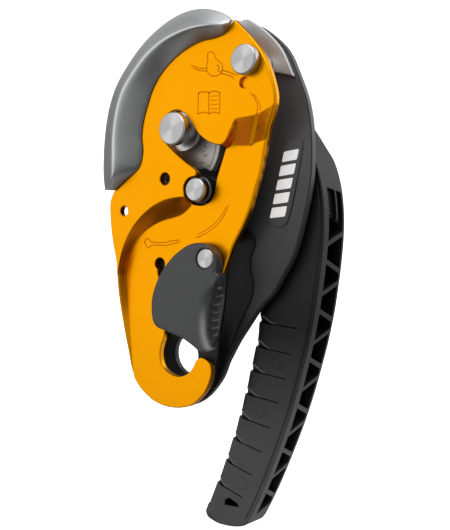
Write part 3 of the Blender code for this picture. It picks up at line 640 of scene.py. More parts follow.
def black_nylon(name, base=(0.022, 0.022, 0.023), rough=0.46, grain=1500, lift=0.05, spec=0.5, zc=0.0, stops=None,
                deep=0.0, wall=False, light_shade_attr=None):
    """Moulded, with the fine even texture of a sparked tool."""
    k = Nodes(name)
    tone = k.noise(26, 3, 0.5)
    spark = k.noise(grain, 3, 0.7)
    fine = k.noise(grain * 3.2, 2, 0.6)
    h = k.math("ADD", k.math("MULTIPLY", spark, 0.7), k.math("MULTIPLY", fine, 0.5))
    col = k.ramp(tone, [(0.3, tuple(c * 0.85 for c in base)), (0.72, tuple(c * 1.18 for c in base))])
    col = k.blend(k.math("MULTIPLY", k.edge(0.53, 0.68), 0.5), col, tuple(min(1, c + lift) for c in base))
    share = k.math("ADD", 1.0, 0.0)
    # painted light and shade: colour and specular scaled by height through the stops
    if stops:
        share = k.along_z(zc, stops)
        col = k.blend(1.0, col, share, "MULTIPLY")
    if deep:
        # painted shade: hollows darkened to black by ambient occlusion
        lit = k.range(k.hollow(deep), 0.35, 0.85, 0.04, 1.0)
        share = k.math("MULTIPLY", share, lit)
        col = k.blend(k.math("SUBTRACT", 1.0, lit), col, tuple(c * 0.12 for c in base))
    if wall:
        xyz = k.n("ShaderNodeSeparateXYZ")
        k.link(k.tc.outputs["Normal"], xyz.inputs[0])
        face = k.range(k.math("ABSOLUTE", xyz.outputs[1]), 0.3, 0.75, 0.10, 1.0)
        share = k.math("MULTIPLY", share, face)
    if light_shade_attr:
        # painted highlight on raised rolls, crests and lips, painted shade in the troughs
        at = k.n("ShaderNodeAttribute", attribute_name=light_shade_attr).outputs["Fac"]
        col = k.blend(k.math("MULTIPLY", k.math("MAXIMUM", at, 0.0), 0.9), col, (0.30, 0.302, 0.308))
        dark = k.range(at, -1.0, 0.0, 1.0, 0.0)
        col = k.blend(k.math("MULTIPLY", dark, 0.9), col, (0.004, 0.004, 0.0042))
        share = k.math("MULTIPLY", share, k.range(dark, 0.0, 1.0, 1.0, 0.2))
    k.set(Base_Color=col, Metallic=0.0, Specular_IOR_Level=k.math("MULTIPLY", share, spec),
          Roughness=k.range(h, 0.4, 0.8, rough - 0.05, rough + 0.07),
          Normal=k.bump(h, 0.22, 0.00005))
    return k.m


def cast_steel(name, base=(0.56, 0.55, 0.535)):
    """Investment-cast and bead-blasted: grainy."""
    k = Nodes(name)
    tone = k.noise(90, 4, 0.6)
    grit = k.noise(1700, 4, 0.75)
    col = k.ramp(k.math("ADD", k.math("MULTIPLY", tone, 0.4), k.math("MULTIPLY", grit, 0.6)),
                 [(0.32, tuple(c * 0.78 for c in base)), (0.68, tuple(min(1, c * 1.15) for c in base))])
    col = k.blend(k.math("MULTIPLY", k.edge(0.53, 0.66), 0.4), col, (0.7, 0.7, 0.69))
    k.set(Base_Color=col, Metallic=0.95, Roughness=k.range(grit, 0.3, 0.7, 0.40, 0.56),
          Normal=k.bump(grit, 0.35, 0.00008))
    return k.m


def spring_steel(name):
    k = Nodes(name)
    st = k.noise(1200, 3, 0.6)
    col = k.ramp(st, [(0.3, (0.36, 0.36, 0.37)), (0.7, (0.52, 0.52, 0.53))])
    k.set(Base_Color=col, Metallic=1.0, Roughness=k.range(st, 0.3, 0.7, 0.26, 0.40),
          Normal=k.bump(st, 0.15, 0.00003))
    return k.m


def pad_print(name):
    k = Nodes(name)
    tone = k.noise(300, 4, 0.6)
    col = k.ramp(tone, [(0.3, (0.90, 0.90, 0.89)), (0.7, (0.97, 0.97, 0.96))])
    k.set(Base_Color=col, Roughness=k.range(tone, 0.3, 0.7, 0.45, 0.6), Normal=k.bump(tone, 0.1, 0.00003))
    # painted light: the print glows faintly
    k.b.inputs["Emission Color"].default_value = (1, 1, 1, 1)
    k.b.inputs["Emission Strength"].default_value = 0.18
    return k.m


YELLOW = yellow_anodised("yellow_anodised", True)
RIM_STEEL = satin_steel("rim_steel", (0.46, 0.465, 0.47), 0.32, formed=True)
LINER_STEEL = satin_steel("liner_steel", (0.68, 0.68, 0.685), 0.50)
HEAD_STEEL = turned_steel("turned_steel")
PIN_STEEL = satin_steel("pin_steel", (0.45, 0.45, 0.46), 0.32)
DARK_STEEL = satin_steel("dark_steel", (0.085, 0.085, 0.09), 0.36)
CAST = cast_steel("cast_steel")
# painted light: the plate lighter towards the top, darker towards the bottom
CHAR = charcoal_coat("charcoal_coat", (0.048, 0.048, 0.051),
                     [(-25, 0.55), (35, 0.62), (60, 0.95), (90, 1.5), (125, 2.0)])
# painted shade: the handle darker high up near the plate, lighter towards the bottom, black in its hollows
NYLON = black_nylon("handle_nylon", (0.024, 0.024, 0.025), 0.46, lift=0.07, zc=105.6, deep=0.009, light_shade_attr="painted_shading",
                    stops=[(-75, 1.50), (-40, 1.30), (-12, 0.78), (14, 0.36), (32, 0.42), (60, 0.50), (95, 0.52)])
BODY_NYLON = black_nylon("body_nylon", (0.006, 0.006, 0.0065), 0.52, spec=0.32, lift=0.02, wall=True)
GATE_PLASTIC = black_nylon("gate_plastic", (0.030, 0.031, 0.033), 0.36, 2200, spec=0.62, light_shade_attr="painted_shading")
WIRE = spring_steel("spring_wire")
PRINT = pad_print("pad_print")

# =============================================================================================
# friction rim stations: inner edge, crest, outer edge, height of the crest
# =============================================================================================
RIM = [
    ((-33.5, 79.0), (-36.5, 79.0), (-40.2, 79.4), 0.22),
    ((-25.8, 84.1), (-30.5, 84.6), (-40.8, 87.0), 0.80),
    ((-18.7, 89.3), (-28.6, 92.0), (-40.6, 95.0), 1.0),
    ((-16.4, 96.5), (-28.6, 99.5), (-40.0, 103.0), 1.0),
    ((-17.0, 103.5), (-28.0, 107.0), (-38.9, 110.5), 1.0),
    ((-16.0, 110.5), (-26.2, 115.8), (-36.6, 119.5), 1.0),
    ((-13.4, 118.0), (-22.8, 124.4), (-32.2, 129.0), 1.0),
    ((-10.0, 125.5), (-17.0, 131.6), (-24.5, 138.5), 1.0),
    ((-5.0, 132.0), (-8.6, 139.4), (-13.5, 148.3), 1.0),
    ((2.5, 137.9), (1.0, 144.8), (-1.0, 155.2), 1.0),
    ((10.5, 141.8), (10.5, 147.6), (10.0, 158.3), 1.0),
    ((18.5, 144.0), (19.5, 148.8), (19.8, 158.4), 1.0),
    ((26.0, 144.4), (27.5, 148.8), (28.2, 156.2), 0.9),
    ((31.5, 145.6), (32.8, 148.4), (33.5, 153.4), 0.6),
    ((34.8, 148.3), (35.6, 149.6), (35.9, 151.3), 0.2),
]

# =============================================================================================
# swinging side plate
# =============================================================================================
right_raised = [(36.8, 151.2), (39.9, 148.4), (47.2, 140.8), (52.4, 133.6), (55.9, 125.6),
                (58.2, 117.5), (58.3, 112.5)]
right_slope = [(58.3, 112.5), (56.2, 107.9), (53.4, 103.1), (50.6, 98.3)]
right_lower = [(50.6, 98.3), (48.9, 91.2), (47.0, 83.5), (44.2, 75.8), (41.4, 68.0), (37.5, 60.2),
               (32.6, 52.2), (29.7, 45.8), (27.3, 40.2)]
over_mouth = [(27.3, 40.2), (24.5, 33.5), (19.0, 27.0), (11.0, 23.0), (2.0, 20.5), (-4.5, 17.0),
              (-7.3, 12.0)]
hook_inner = [(-7.3, 12.0), (-7.8, 8.3), (-9.4, 4.8), (-10.3, 0.7), (-9.5, -4.2), (-6.8, -7.3),
              (-2.2, -9.3), (2.2, -9.4), (6.4, -7.7), (9.2, -5.1), (11.3, -1.4)]
hook_tip = [(11.3, -1.4), (13.9, 0.3), (17.1, -0.3), (19.6, -2.5), (20.2, -6.5), (18.7, -11.6),
            (15.5, -16.8), (9.7, -21.8), (4.3, -23.8), (-2.2, -24.6), (-8.9, -24.1),
            (-15.7, -21.9), (-22.6, -17.3), (-26.5, -12.9)]
left_lip = [(-26.5, -12.9), (-28.4, -6.4), (-29.6, 0.9), (-30.8, 8.2), (-31.8, 15.5), (-32.6, 22.8),
            (-33.2, 30.2), (-33.4, 37.8)]
lip_y = [-11.0, -11.5, -12.1, -12.9, -13.7, -14.6, -15.4, RY]
left_raised = [(-33.4, 37.8), (-34.0, 45.1), (-35.8, 52.4), (-37.1, 59.7), (-37.8, 67.1),
               (-37.6, 74.0), (-34.6, 79.4)]
under_rim = [mix(i, c, 0.5) for i, c, o, h in RIM[1:14]]
PLATE_OUT = join(smooth(right_raised, 8), smooth(right_slope, 4), smooth(right_lower, 6),
                 smooth(over_mouth, 4), smooth(hook_inner, 6), smooth(hook_tip, 6), smooth(left_lip, 4),
                 smooth(left_raised, 4), [(-34.6, 79.4)], smooth(under_rim, 3), [(36.8, 151.2)])
win_top = [(9.8, 111.9), (13.2, 107.3), (17.0, 102.6), (22.0, 99.0), (26.6, 97.2), (29.4, 96.9)]
win_right = [(28.3, 95.3), (26.8, 91.2), (24.9, 86.4), (23.2, 81.5), (22.0, 76.2), (19.5, 72.4),
             (16.2, 70.8), (12.6, 70.6), (9.6, 71.2)]
win_left = [(8.6, 74.6), (8.2, 79.4), (11.0, 82.8), (14.6, 83.6), (15.4, 85.2), (13.2, 87.6),
            (8.9, 90.5), (4.1, 94.2), (-0.4, 98.0)]
win_lobe = [(-0.4, 98.0), (-3.6, 101.6), (-4.6, 105.6), (-3.2, 110.4), (0.6, 114.0), (5.4, 114.4),
            (9.8, 111.9)]
WINDOW = join(smooth(win_top, 5), smooth(win_right, 5), smooth(win_left, 4), smooth(win_lobe, 6))
S_TOP = smooth([(8.6, 74.6), (2.6, 74.4), (-3.0, 73.6), (-9.1, 71.5), (-15.4, 67.9), (-21.4, 62.9),
                (-26.3, 57.0), (-29.9, 50.3), (-31.9, 43.5), (-33.4, 37.8)], 5)
S_FOOT = smooth([(9.6, 71.2), (5.3, 67.4), (1.3, 65.7), (-3.4, 64.7), (-9.1, 63.5), (-14.3, 61.6),
                 (-18.8, 59.2), (-23.0, 55.8), (-26.6, 51.2), (-29.4, 46.0), (-30.8, 40.5),
                 (-30.9, 31.8), (-30.4, 22.0), (-29.4, 12.0), (-28.2, 2.0), (-27.2, -6.0),
                 (-26.5, -12.9)], 5)
P_TOP = smooth([(37.2, 108.0), (42.1, 108.3), (48.2, 108.8), (52.9, 110.3), (58.3, 112.5)], 4)
P_LEFT = smooth([(29.4, 96.9), (31.8, 98.6), (34.3, 102.9), (37.2, 108.0)], 4)
P_FOOT = smooth([(28.3, 95.3), (33.7, 96.4), (39.9, 96.0), (44.8, 96.9), (50.6, 98.3)], 4)
S_EDGE = S_TOP + smooth(left_lip, 5)[::-1][1:]
S_EDGE_Y = [RY] * len(S_TOP) + list(np.interp(
    [p[1] for p in smooth(left_lip, 5)[::-1][1:]], [p[1] for p in left_lip], lip_y))
# regions of the sheet, drawn past its outline
S_BAND = S_TOP + [(-39.0, 37.8), (-37.0, 0.0), (-32.0, -15.0)] + S_FOOT[::-1] + [(11.0, 73.0)]
P_BAND = P_LEFT + P_TOP[1:] + [(64.0, 114.0), (58.0, 97.0)] + P_FOOT[::-1] + [(27.6, 96.9)]
LOWER = ([(24.0, 94.6)] + P_FOOT + [(60.0, 99.5), (60.0, -40.0), (-60.0, -40.0), (-40.0, -14.0)] + S_FOOT[::-1]
         + [(12.0, 73.0), (20.0, 76.0), (22.0, 88.0)])
SLOT_R = 32.0


def slot_loop(a0, a1, w, end_r):
    """The gate peg's arc slot, with a round end."""
    o = arc(GATE_C, SLOT_R + w, a0 + 4.6, a1, 14)
    e = (GATE_C[0] + SLOT_R * math.cos(math.radians(a1)), GATE_C[1] + SLOT_R * math.sin(math.radians(a1)))
    s = (GATE_C[0] + SLOT_R * math.cos(math.radians(a0)), GATE_C[1] + SLOT_R * math.sin(math.radians(a0)))
    cap = arc(e, w, a1, a1 + 180, 10)
    i = arc(GATE_C, SLOT_R - w, a1, a0 + 4.6, 14)
    back = math.degrees(math.asin(w / end_r))
    head = arc(s, end_r, a0 + 90 + back, a0 + 450 - back, 28)
    return join(o, cap, i, head)


# engraved lines: run, half width, depth
ENGRAVED = [(smooth(r, 4), w, 0.30) for r, w in [
    # an open book
    ([(17.0, 121.0), (19.4, 121.3), (21.9, 121.0), (22.9, 120.5)], 0.27),
    ([(22.9, 120.5), (24.1, 120.9), (26.4, 120.9), (29.0, 120.0)], 0.27),
    ([(16.6, 111.6), (19.2, 112.1), (21.7, 111.7), (22.8, 111.1)], 0.27),
    ([(22.8, 111.1), (24.0, 111.6), (26.4, 111.5), (28.9, 110.7)], 0.27),
    # a hand on a rope
    ([(13.4, 133.8), (17.0, 132.4), (21.4, 131.6)], 0.24),
    ([(14.2, 132.5), (17.6, 131.2), (21.6, 130.4)], 0.24),
    ([(30.4, 129.6), (34.2, 128.5), (37.0, 127.1)], 0.24),
    ([(29.9, 128.4), (33.6, 127.2), (36.2, 126.0)], 0.24),
    ([(22.0, 138.0), (24.0, 138.7), (26.0, 137.7), (26.6, 135.6), (28.4, 134.0), (30.2, 132.4),
      (30.4, 130.2), (28.9, 128.2), (26.3, 127.6), (23.7, 128.4), (22.0, 130.2), (21.7, 132.6),
      (22.3, 135.2), (22.0, 138.0)], 0.26),
    ([(27.6, 132.4), (28.8, 131.4), (27.9, 130.2), (29.0, 129.4)], 0.22),
    # the path of the rope
    ([(46.1, 117.6), (48.0, 115.1), (49.3, 111.8), (48.9, 109.6)], 0.24),
    ([(47.3, 117.4), (49.3, 114.7), (50.7, 111.6), (50.5, 110.2)], 0.24),
    ([(29.7, 69.2), (27.8, 65.7), (24.3, 61.9), (19.0, 58.4), (12.7, 55.8)], 0.26),
    ([(28.6, 69.2), (26.9, 66.4), (23.6, 63.0), (18.6, 59.7), (12.9, 57.1)], 0.16),
    # a rope's end with its knot
    ([(-19.7, 53.8), (-18.7, 55.3), (-16.7, 55.1), (-15.6, 54.0), (-11.6, 53.5), (-7.0, 53.6),
      (-3.2, 54.2), (0.6, 54.6)], 0.22),
    ([(-19.7, 53.8), (-18.5, 51.7), (-16.5, 51.3), (-15.4, 52.3), (-11.6, 52.3), (-6.0, 52.2),
      (-2.2, 52.9), (0.9, 53.5)], 0.22),
]]
ENGRAVED += [([(16.6, 111.6), (17.0, 121.0)], 0.27, 0.3), ([(29.0, 120.0), (28.9, 110.7)], 0.27, 0.3),
             ([(22.9, 120.5), (22.8, 111.1)], 0.27, 0.3)]
ENGRAVED += [([(24.7, 118.9 - 1.9 * i), (27.3, 118.7 - 1.9 * i)], 0.18, 0.22) for i in range(4)]
DIMPLES = [((42.1, 123.1), 2.7, 1.6)]
RIB = smooth([(49.7, 110.4), (47.2, 105.2), (44.6, 100.6), (42.6, 96.6), (42.0, 94.6)], 5)


def plate_level(P):
    """y of the formed sheet's front before edges and engraving."""
    y = np.full(len(P), RY)
    y[within(P, LOWER)] = LY
    m = within(P, S_BAND)
    if m.any():
        q = P[m]
        dt, df = seg_dist(q, S_EDGE), seg_dist(q, S_FOOT)
        top = nearest_value(q, S_EDGE, S_EDGE_Y)
        t = df / (dt + df + 1e-6)
        g = 0.72 * t + 0.28 * step_up(t)
        y[m] = LY + (top - LY) * g
    m = within(P, P_BAND)
    if m.any():
        q = P[m]
        dt, df = seg_dist(q, P_TOP), seg_dist(q, P_FOOT)
        t = df / (dt + df + 1e-6)
        g = t
        s = LY + (RY - LY) * g
        wl = step_up(seg_dist(q, P_LEFT) / 1.2)
        s = RY + (s - RY) * wl
        rb = seg_dist(q, RIB)
        s = s - 0.55 * (1 - step_up((rb - 0.7) / 0.5)) * wl
        y[m] = s
    return y


def plate_round(P):
    """Edge radius of the front: generous up the right side, small elsewhere."""
    d = seg_dist(P, join(smooth(right_raised[1:], 2), smooth(right_slope, 2)) + [(49.6, 94.0)])
    r = 0.5 + 0.65 * (1 - step_up((d - 2.2) / 1.6))
    d2 = seg_dist(P, right_lower[1:])
    return np.maximum(r, 0.5 + 0.35 * (1 - step_up((d2 - 1.0) / 1.0)))


def plate_front(P, d):
    y = plate_level(P)
    for run, w, depth in ENGRAVED:
        lo = np.min([p[:2] for p in run], 0) - 1
        hi = np.max([p[:2] for p in run], 0) + 1
        m = ((P >= lo) & (P <= hi)).all(1)
        if m.any():
            g = seg_dist(P[m], run)
            y[m] += depth * (1 - step_up((g - 0.3 * w) / (0.75 * w)))
    for c, r, depth in DIMPLES:
        g = np.hypot(P[:, 0] - c[0], P[:, 1] - c[1])
        y += depth * (1 - step_up((g - (r - 0.5)) / 0.45))
    r = plate_round(P)
    return y + rounding(d, r)


def plate_back(P, d):
    return plate_level(P) + PLATE_T - rounding(d, 0.35)


lines = [S_TOP, S_FOOT, P_TOP, P_LEFT, P_FOOT, shift(P_LEFT, -0.6), shift(P_LEFT, -1.2), shift(RIB, 0.7), shift(RIB, -0.7),
         shift(RIB, 1.2), shift(RIB, -1.2)]
for run in (S_TOP, S_FOOT, P_TOP, P_LEFT, P_FOOT):
    lines += [shift(run, e) for e in (0.35, -0.35)]
nA, nB = evenly(S_EDGE, 130), evenly(S_FOOT, 130)
# threads down the S slope at even shares of its width
for f in (0.2, 0.4, 0.6, 0.8):
    lines.append([mix(a, b, f) for a, b in zip(evenly(S_TOP, 60), evenly(S_FOOT[:51], 60))])
pa, pb = evenly(P_TOP, 16), evenly(P_FOOT, 16)
for f in (0.25, 0.5, 0.75):
    lines.append([mix(a, b, f) for a, b in zip(pa, pb)])
for run, w, depth in ENGRAVED:
    run = spaced(run, 0.9)
    for o in (1.05, 0.3, -0.3, -1.05):
        lines.append(shift(run, o * w))
loops = [circle(c, r + e, 32) for c, r, _ in DIMPLES for e in (-0.5, -0.27, -0.05)]
plate_holes = [WINDOW, circle(PIVOT, 3.4, 40), circle((-28.6, 68.8), 2.4, 40), circle((-3.0, 83.1), 2.9, 40),
               circle(GATE_C, 2.8, 36), slot_loop(185.0, 216.0, 1.9, 3.0)]
me = relief(PLATE_OUT, plate_holes, plate_front, plate_back, rounds=(0.5, 1.15), lines=lines, loops=loops,
            grid=2.2, step=1.0, sharp=34)
P = np.array([(v.co.x / MM, v.co.z / MM) for v in me.vertices])
# painted shade on the drawn slopes, weaker low on the S slope, beside the rib, the left wall and the right edge
wS = within(P, S_BAND) * step_up(np.minimum(seg_dist(P, S_TOP), seg_dist(P, S_FOOT)) / 0.5)
wS = wS * (0.10 + 0.90 * step_up((P[:, 1] - 30.0) / 34.0))
wP = within(P, P_BAND) * step_up(np.minimum(seg_dist(P, P_TOP), seg_dist(P, P_FOOT)) / 0.5)
wP = wP * (0.10 + 0.90 * step_up((seg_dist(P, RIB) - 0.8) / 0.4)) * (0.80 + 0.20 * step_up((seg_dist(P, P_LEFT) - 1.0) / 2.0))
wP = wP * (0.25 + 0.75 * step_up((seg_dist(P, right_slope) - 1.2) / 1.0))
at = me.attributes.new("slope", "FLOAT", "POINT")
at.data.foreach_set("value", np.clip(np.maximum(wS, wP), 0, 1).astype(np.float32))
piece("side_plate_yellow", me, YELLOW, "swing_plate", ["moving_side_plate"], c=PIVOT, world=True)

# =============================================================================================
# front friction rim
# =============================================================================================
inn = smooth([s[0] for s in RIM], 5)
cre = smooth([s[1] for s in RIM], 5)
out = smooth([s[2] for s in RIM], 5)
hts = [h[0] for h in smooth([(s[3], 0) for s in RIM], 5)]
rings = []
for a, c, o, h in zip(inn, cre, out, hts):
    h = min(max(h, 0.16), 1.0)
    top = -16.9 - (CREST - 0.9) * h
    face = [(a, -16.5), (mix(a, c, 0.16), -16.9 + (top + 16.9) * 0.17), (mix(a, c, 0.45), -16.8 + (top + 16.9) * 0.52),
            (mix(a, c, 0.75), top + 1.25 * h), (mix(a, c, 0.94), top + 0.25), (mix(c, o, 0.04), top),
            (mix(c, o, 0.16), top + 0.35 * h), (mix(c, o, 0.36), top + 1.35 * h), (mix(c, o, 0.58), top + 2.6 * h),
            (mix(c, o, 0.80), top + 4.1 * h), (mix(c, o, 0.94), top + 5.3 * h), (o, top + 6.1 * h),
            (mix(c, o, 1.0), top + 7.0 * h + 0.5)]
    face3 = smooth([(p[0], p[1], y) for p, y in face], 2)
    under = [(mix(c, o, 0.86), top + 4.9 * h + RIM_T * (0.3 + 0.7 * h)),
             (mix(c, o, 0.5), min(top + 2.9 * h + RIM_T, -16.25)),
             (mix(c, o, 0.15), min(top + RIM_T, -16.25)),
             (mix(a, c, 0.85), min(top + RIM_T + 0.3, -16.25)),
             (mix(a, c, 0.6), -16.25), (a, -16.25)]
    ring = [(p[0], p[2], p[1]) for p in face3] + [(p[0], y, p[1]) for p, y in under]
    rings.append(ring)
me = loft(rings, sharp=40)
P = np.array([(v.co.x / MM, v.co.z / MM) for v in me.vertices])
di, dc, do = seg_dist(P, inn), seg_dist(P, cre), seg_dist(P, out)
side_in = di < do
si, so = di / (di + dc + 1e-6), dc / (dc + do + 1e-6)
# painted shade in the cove, darker towards the left; painted highlight at the crest and the outer lip
painted_shading = np.where(side_in, np.interp(si, [0, 0.15, 0.5, 0.8, 0.93, 1.0], [-0.75, -0.48, -0.36, -0.16, 0.22, 0.50]),
               np.interp(so, [0, 0.10, 0.3, 0.6, 0.9, 1.0], [0.50, 0.10, -0.16, -0.12, 0.05, 0.2]))
painted_shading = np.where(side_in & (si < 0.9), painted_shading * (0.35 + 0.65 * step_up((4.0 - P[:, 0]) / 14)), painted_shading)
at = me.attributes.new("painted_shading", "FLOAT", "POINT")
at.data.foreach_set("value", painted_shading.astype(np.float32))
piece("friction_rim_front", me, RIM_STEEL, "swing_plate", ["front_friction_rim"], c=PIVOT, world=True)

# =============================================================================================
# heads and collars
# =============================================================================================
def head(name, c, r, y0, rest, body, cad, extra=()):
    face = [(0, y0), (r - 0.75, y0), (r - 0.55, y0 + 0.05), (r, y0 + 0.62)]
    prof = fillet(face + rest, 0.22, 3)
    prof[0] = (0, y0)
    return piece(name, turned(c, prof, 80), HEAD_STEEL, body, [cad], c=c)


head("cam_head", CAM_C, 7.6, -20.6, [(7.6, -16.9), (7.2, -16.5), (5.6, -16.4), (5.6, -12.3), (9.8, -12.3),
                                     (9.8, -10.6), (7.0, -10.2), (7.0, -7.9), (0, -7.9)],
     "swing_plate", "cam_stud")
head("guide_head", GUIDE_C, 5.4, -17.6, [(5.4, -15.2), (3.2, -15.0), (3.2, -7.9), (0, -7.9)],
     "swing_plate", "guide_stud")
piece("guide_ring", turned(GUIDE_C, fillet([(3.5, -13.6), (5.7, -13.6), (6.3, -13.1), (6.3, -12.4), (5.8, -11.9),
                                            (5.8, -8.0), (3.5, -8.0)], 0.2, 3), 64),
      DARK_STEEL, "swing_plate", ["guide_collar"], c=GUIDE_C)
head("pivot_head", PIVOT, 6.6, -20.2, [(6.6, -16.4), (3.1, -16.3), (3.1, 3.5), (5.0, 3.5), (5.0, 4.2),
                                       (4.5, 4.8), (0, 4.8)], "frame", "plate_pivot_axle")
piece("gate_rivet_head", turned(GATE_C, fillet([(0, -17.6), (4.0, -17.6), (4.6, -17.2), (4.6, -15.8), (2.4, -15.8),
                                                (2.4, -7.9), (0, -7.9)], 0.25, 3), 64),
      HEAD_STEEL, "swing_plate", ["gate_rivet"], c=GATE_C)

# =============================================================================================
# gate
# =============================================================================================
GATE_OUT = join(smooth([(18.3, 53.3), (21.7, 52.5), (24.2, 50.6), (26.2, 48.6), (27.3, 46.0), (27.5, 42.7),
                        (27.3, 40.0)], 5),
                smooth([(27.3, 40.0), (28.4, 39.4), (29.1, 38.0), (29.1, 34.1), (28.4, 26.8), (27.0, 20.1),
                        (25.8, 13.4), (25.0, 8.0), (24.3, 5.3)], 5),
                smooth([(24.3, 5.3), (21.4, 3.7), (18.2, 3.9), (14.0, 6.4), (8.0, 9.4), (2.6, 11.0), (-3.3, 12.6),
                        (-7.0, 13.8), (-9.4, 16.6), (-10.3, 22.0), (-9.8, 28.0), (-7.4, 34.4), (-3.0, 41.2),
                        (3.0, 47.2), (9.6, 51.4), (14.2, 53.0), (18.3, 53.3)], 5))
PAD_L = smooth([(28.6, 37.4), (26.4, 34.3), (24.5, 30.9), (22.8, 25.3), (22.0, 21.5), (21.9, 16.7), (22.1, 12.8),
                (23.0, 9.5), (24.6, 6.6)], 6)
PAD = PAD_L + [(34.0, 6.0), (36.0, 38.0)]
RIDGES = [((26.6, 32.3), (30.4, 33.5)), ((25.0, 28.7), (30.0, 29.8)), ((24.0, 24.8), (29.2, 25.9)),
          ((23.4, 21.3), (28.6, 22.3)), ((22.9, 17.7), (27.8, 18.8)), ((22.8, 13.9), (27.0, 15.4)),
          ((23.6, 10.7), (26.4, 12.2))]


def gate_front(P, d):
    y = np.full(len(P), -17.9)
    # hub ring round the rivet
    g = np.hypot(P[:, 0] - GATE_C[0], P[:, 1] - GATE_C[1])
    y += 0.9 * (1 - step_up((g - 4.85) / 0.3))
    pad = within(P, PAD)
    dl = seg_dist(P, PAD_L)
    # the face rolls over before the pad starts
    low = step_up((36.0 - P[:, 1]) / 8)
    t = np.clip(1 - dl / 4.6, 0, 1)
    y += np.where(pad, 1.5 * low, 1.5 * t * t * low)
    # thumb pad: a step down, a slope to the right and ridges across it
    rid = np.zeros(len(P))
    for a, b in RIDGES:
        a, b = np.array(a), np.array(b)
        ax = (b - a) / np.linalg.norm(b - a)
        v = (P - a) @ np.array((-ax[1], ax[0]))
        u = (P - a) @ ax
        f = np.where(v > 0, np.clip(1 - v / 0.55, 0, 1), np.clip(1 + v / 1.0, 0, 1))
        rid = np.maximum(rid, f * step_up(u / 0.7) * step_up((d - 0.25) / 0.5))
    y += np.where(pad, 0.55 * step_up(dl / 0.5) + 0.80 * dl - 0.95 * rid, 0)
    return np.minimum(y + np.where(pad, rounding(d, 0.6), rounding(d, 1.5)), -12.0)


rl = []
for a, b in RIDGES:
    nv = np.array((-(b[1] - a[1]), b[0] - a[0])) / math.dist(a, b)
    for e in (-1.0, -0.5, 0.0, 0.28, 0.55):
        q = [tuple(np.array(p) + nv * e) for p in spaced([a, b], 0.8)]
        q = [p for p in q if within(np.array([p]), GATE_OUT)[0]]
        if len(q) > 1:
            rl.append(q)
gl = rl + [shift(PAD_L, e) for e in (0.0, 0.25, 0.5, -0.8, -1.8, -3.0, -4.4)]
me = relief(GATE_OUT, [circle(GATE_C, 2.8, 32)], gate_front, lambda P, d: -11.35 - rounding(d, 0.6),
            rounds=(0.6, 1.5), lines=gl, loops=[circle(GATE_C, r, 48) for r in (4.85, 5.0, 5.15)],
            grid=1.5, step=0.9, sharp=50)
P = np.array([(v.co.x / MM, v.co.z / MM) for v in me.vertices])
front = np.array([v.co.y / MM < -13.0 for v in me.vertices])
dl, de = seg_dist(P, PAD_L), seg_dist(P, GATE_OUT, True)
pad = within(P, PAD)
# painted highlight on the roll before the pad, the ridge crests and the lower left edge; painted shade in the pad's
# troughs
painted_shading = np.where(pad, -0.60 * step_up(dl / 0.5), 0.95 * np.exp(-((dl - 1.7) / 1.3) ** 2) * step_up(dl / 0.8)
               * step_up((29.0 - P[:, 1]) / 16))
for a, b in RIDGES:
    a, b = np.array(a), np.array(b)
    ax = (b - a) / np.linalg.norm(b - a)
    v = (P - a) @ np.array((-ax[1], ax[0]))
    u = (P - a) @ ax
    crest = np.clip(1 - np.abs(v - 0.1) / 0.75, 0, 1) * step_up((u - 0.2) / 0.9)
    painted_shading = np.where(pad, np.maximum(painted_shading, -0.60 + 1.02 * crest), painted_shading)
lip = (1 - step_up(np.abs(de - 0.7) / 0.6)) * step_up((15.5 - P[:, 1]) / 2) * (P[:, 0] < 20.5)
painted_shading = np.where(~pad, np.maximum(painted_shading, 0.30 * lip), painted_shading)
at = me.attributes.new("painted_shading", "FLOAT", "POINT")
at.data.foreach_set("value", np.where(front, painted_shading, 0.0).astype(np.float32))
piece("gate_body", me, GATE_PLASTIC, "gate", ["gate"], c=GATE_C, world=True)

# =============================================================================================
# fixed side: plate, liner, body, shoulder, badge
# =============================================================================================
plate_right = [(34.0, 149.4), (38.0, 151.8), (45.6, 147.1), (54.4, 138.5), (60.1, 127.2), (64.8, 114.7),
               (66.9, 102.0), (67.2, 90.5), (66.8, 81.8), (65.4, 73.5), (63.4, 65.2), (60.5, 54.8),
               (57.1, 45.9), (52.6, 38.7), (47.2, 30.4), (40.1, 23.7), (33.4, 15.0), (27.9, 7.6),
               (24.4, 1.9), (21.5, -3.1), (19.4, -8.0), (16.5, -12.6), (11.0, -18.7), (4.9, -22.9),
               (-1.3, -24.9), (-8.6, -23.8), (-15.2, -21.4), (-21.6, -17.0), (-25.6, -12.4)]
plate_left = [(-25.6, -12.4), (-28.6, 0.9), (-31.0, 16.0), (-32.4, 30.0), (-33.0, 45.0), (-35.4, 58.0),
              (-35.0, 68.0), (-32.4, 76.0), (-30.6, 84.0)]
RIM_LINE = [mix(c, o, 0.05) for i, c, o, h in RIM[2:13]]
FIXED_OUT = join(smooth(plate_right, 4), smooth(plate_left, 4), smooth(RIM_LINE, 3))


def fixed_front(P, d):
    # a fine seam right at the corner
    return rounding(d, 0.12) + 0.5 * (1 - step_up(np.abs(d - 0.52) / 0.26))


def fixed_back(P, d):
    return 3.2 - rounding(d, 0.5)


me = relief(FIXED_OUT, [circle((0, 0), EYE_R, 72), circle(PIVOT, 3.4, 36), circle(CAM_C, 4.3, 36),
                        circle(GUIDE_C, 3.4, 36)] + [circle(s, 1.9, 24) for s in SCREWS],
            fixed_front, fixed_back, rounds=(0.12, 0.27, 0.52, 0.78), grid=5.0, step=1.2)
piece("side_plate_charcoal", me, CHAR, "frame", ["fixed_side_plate"])

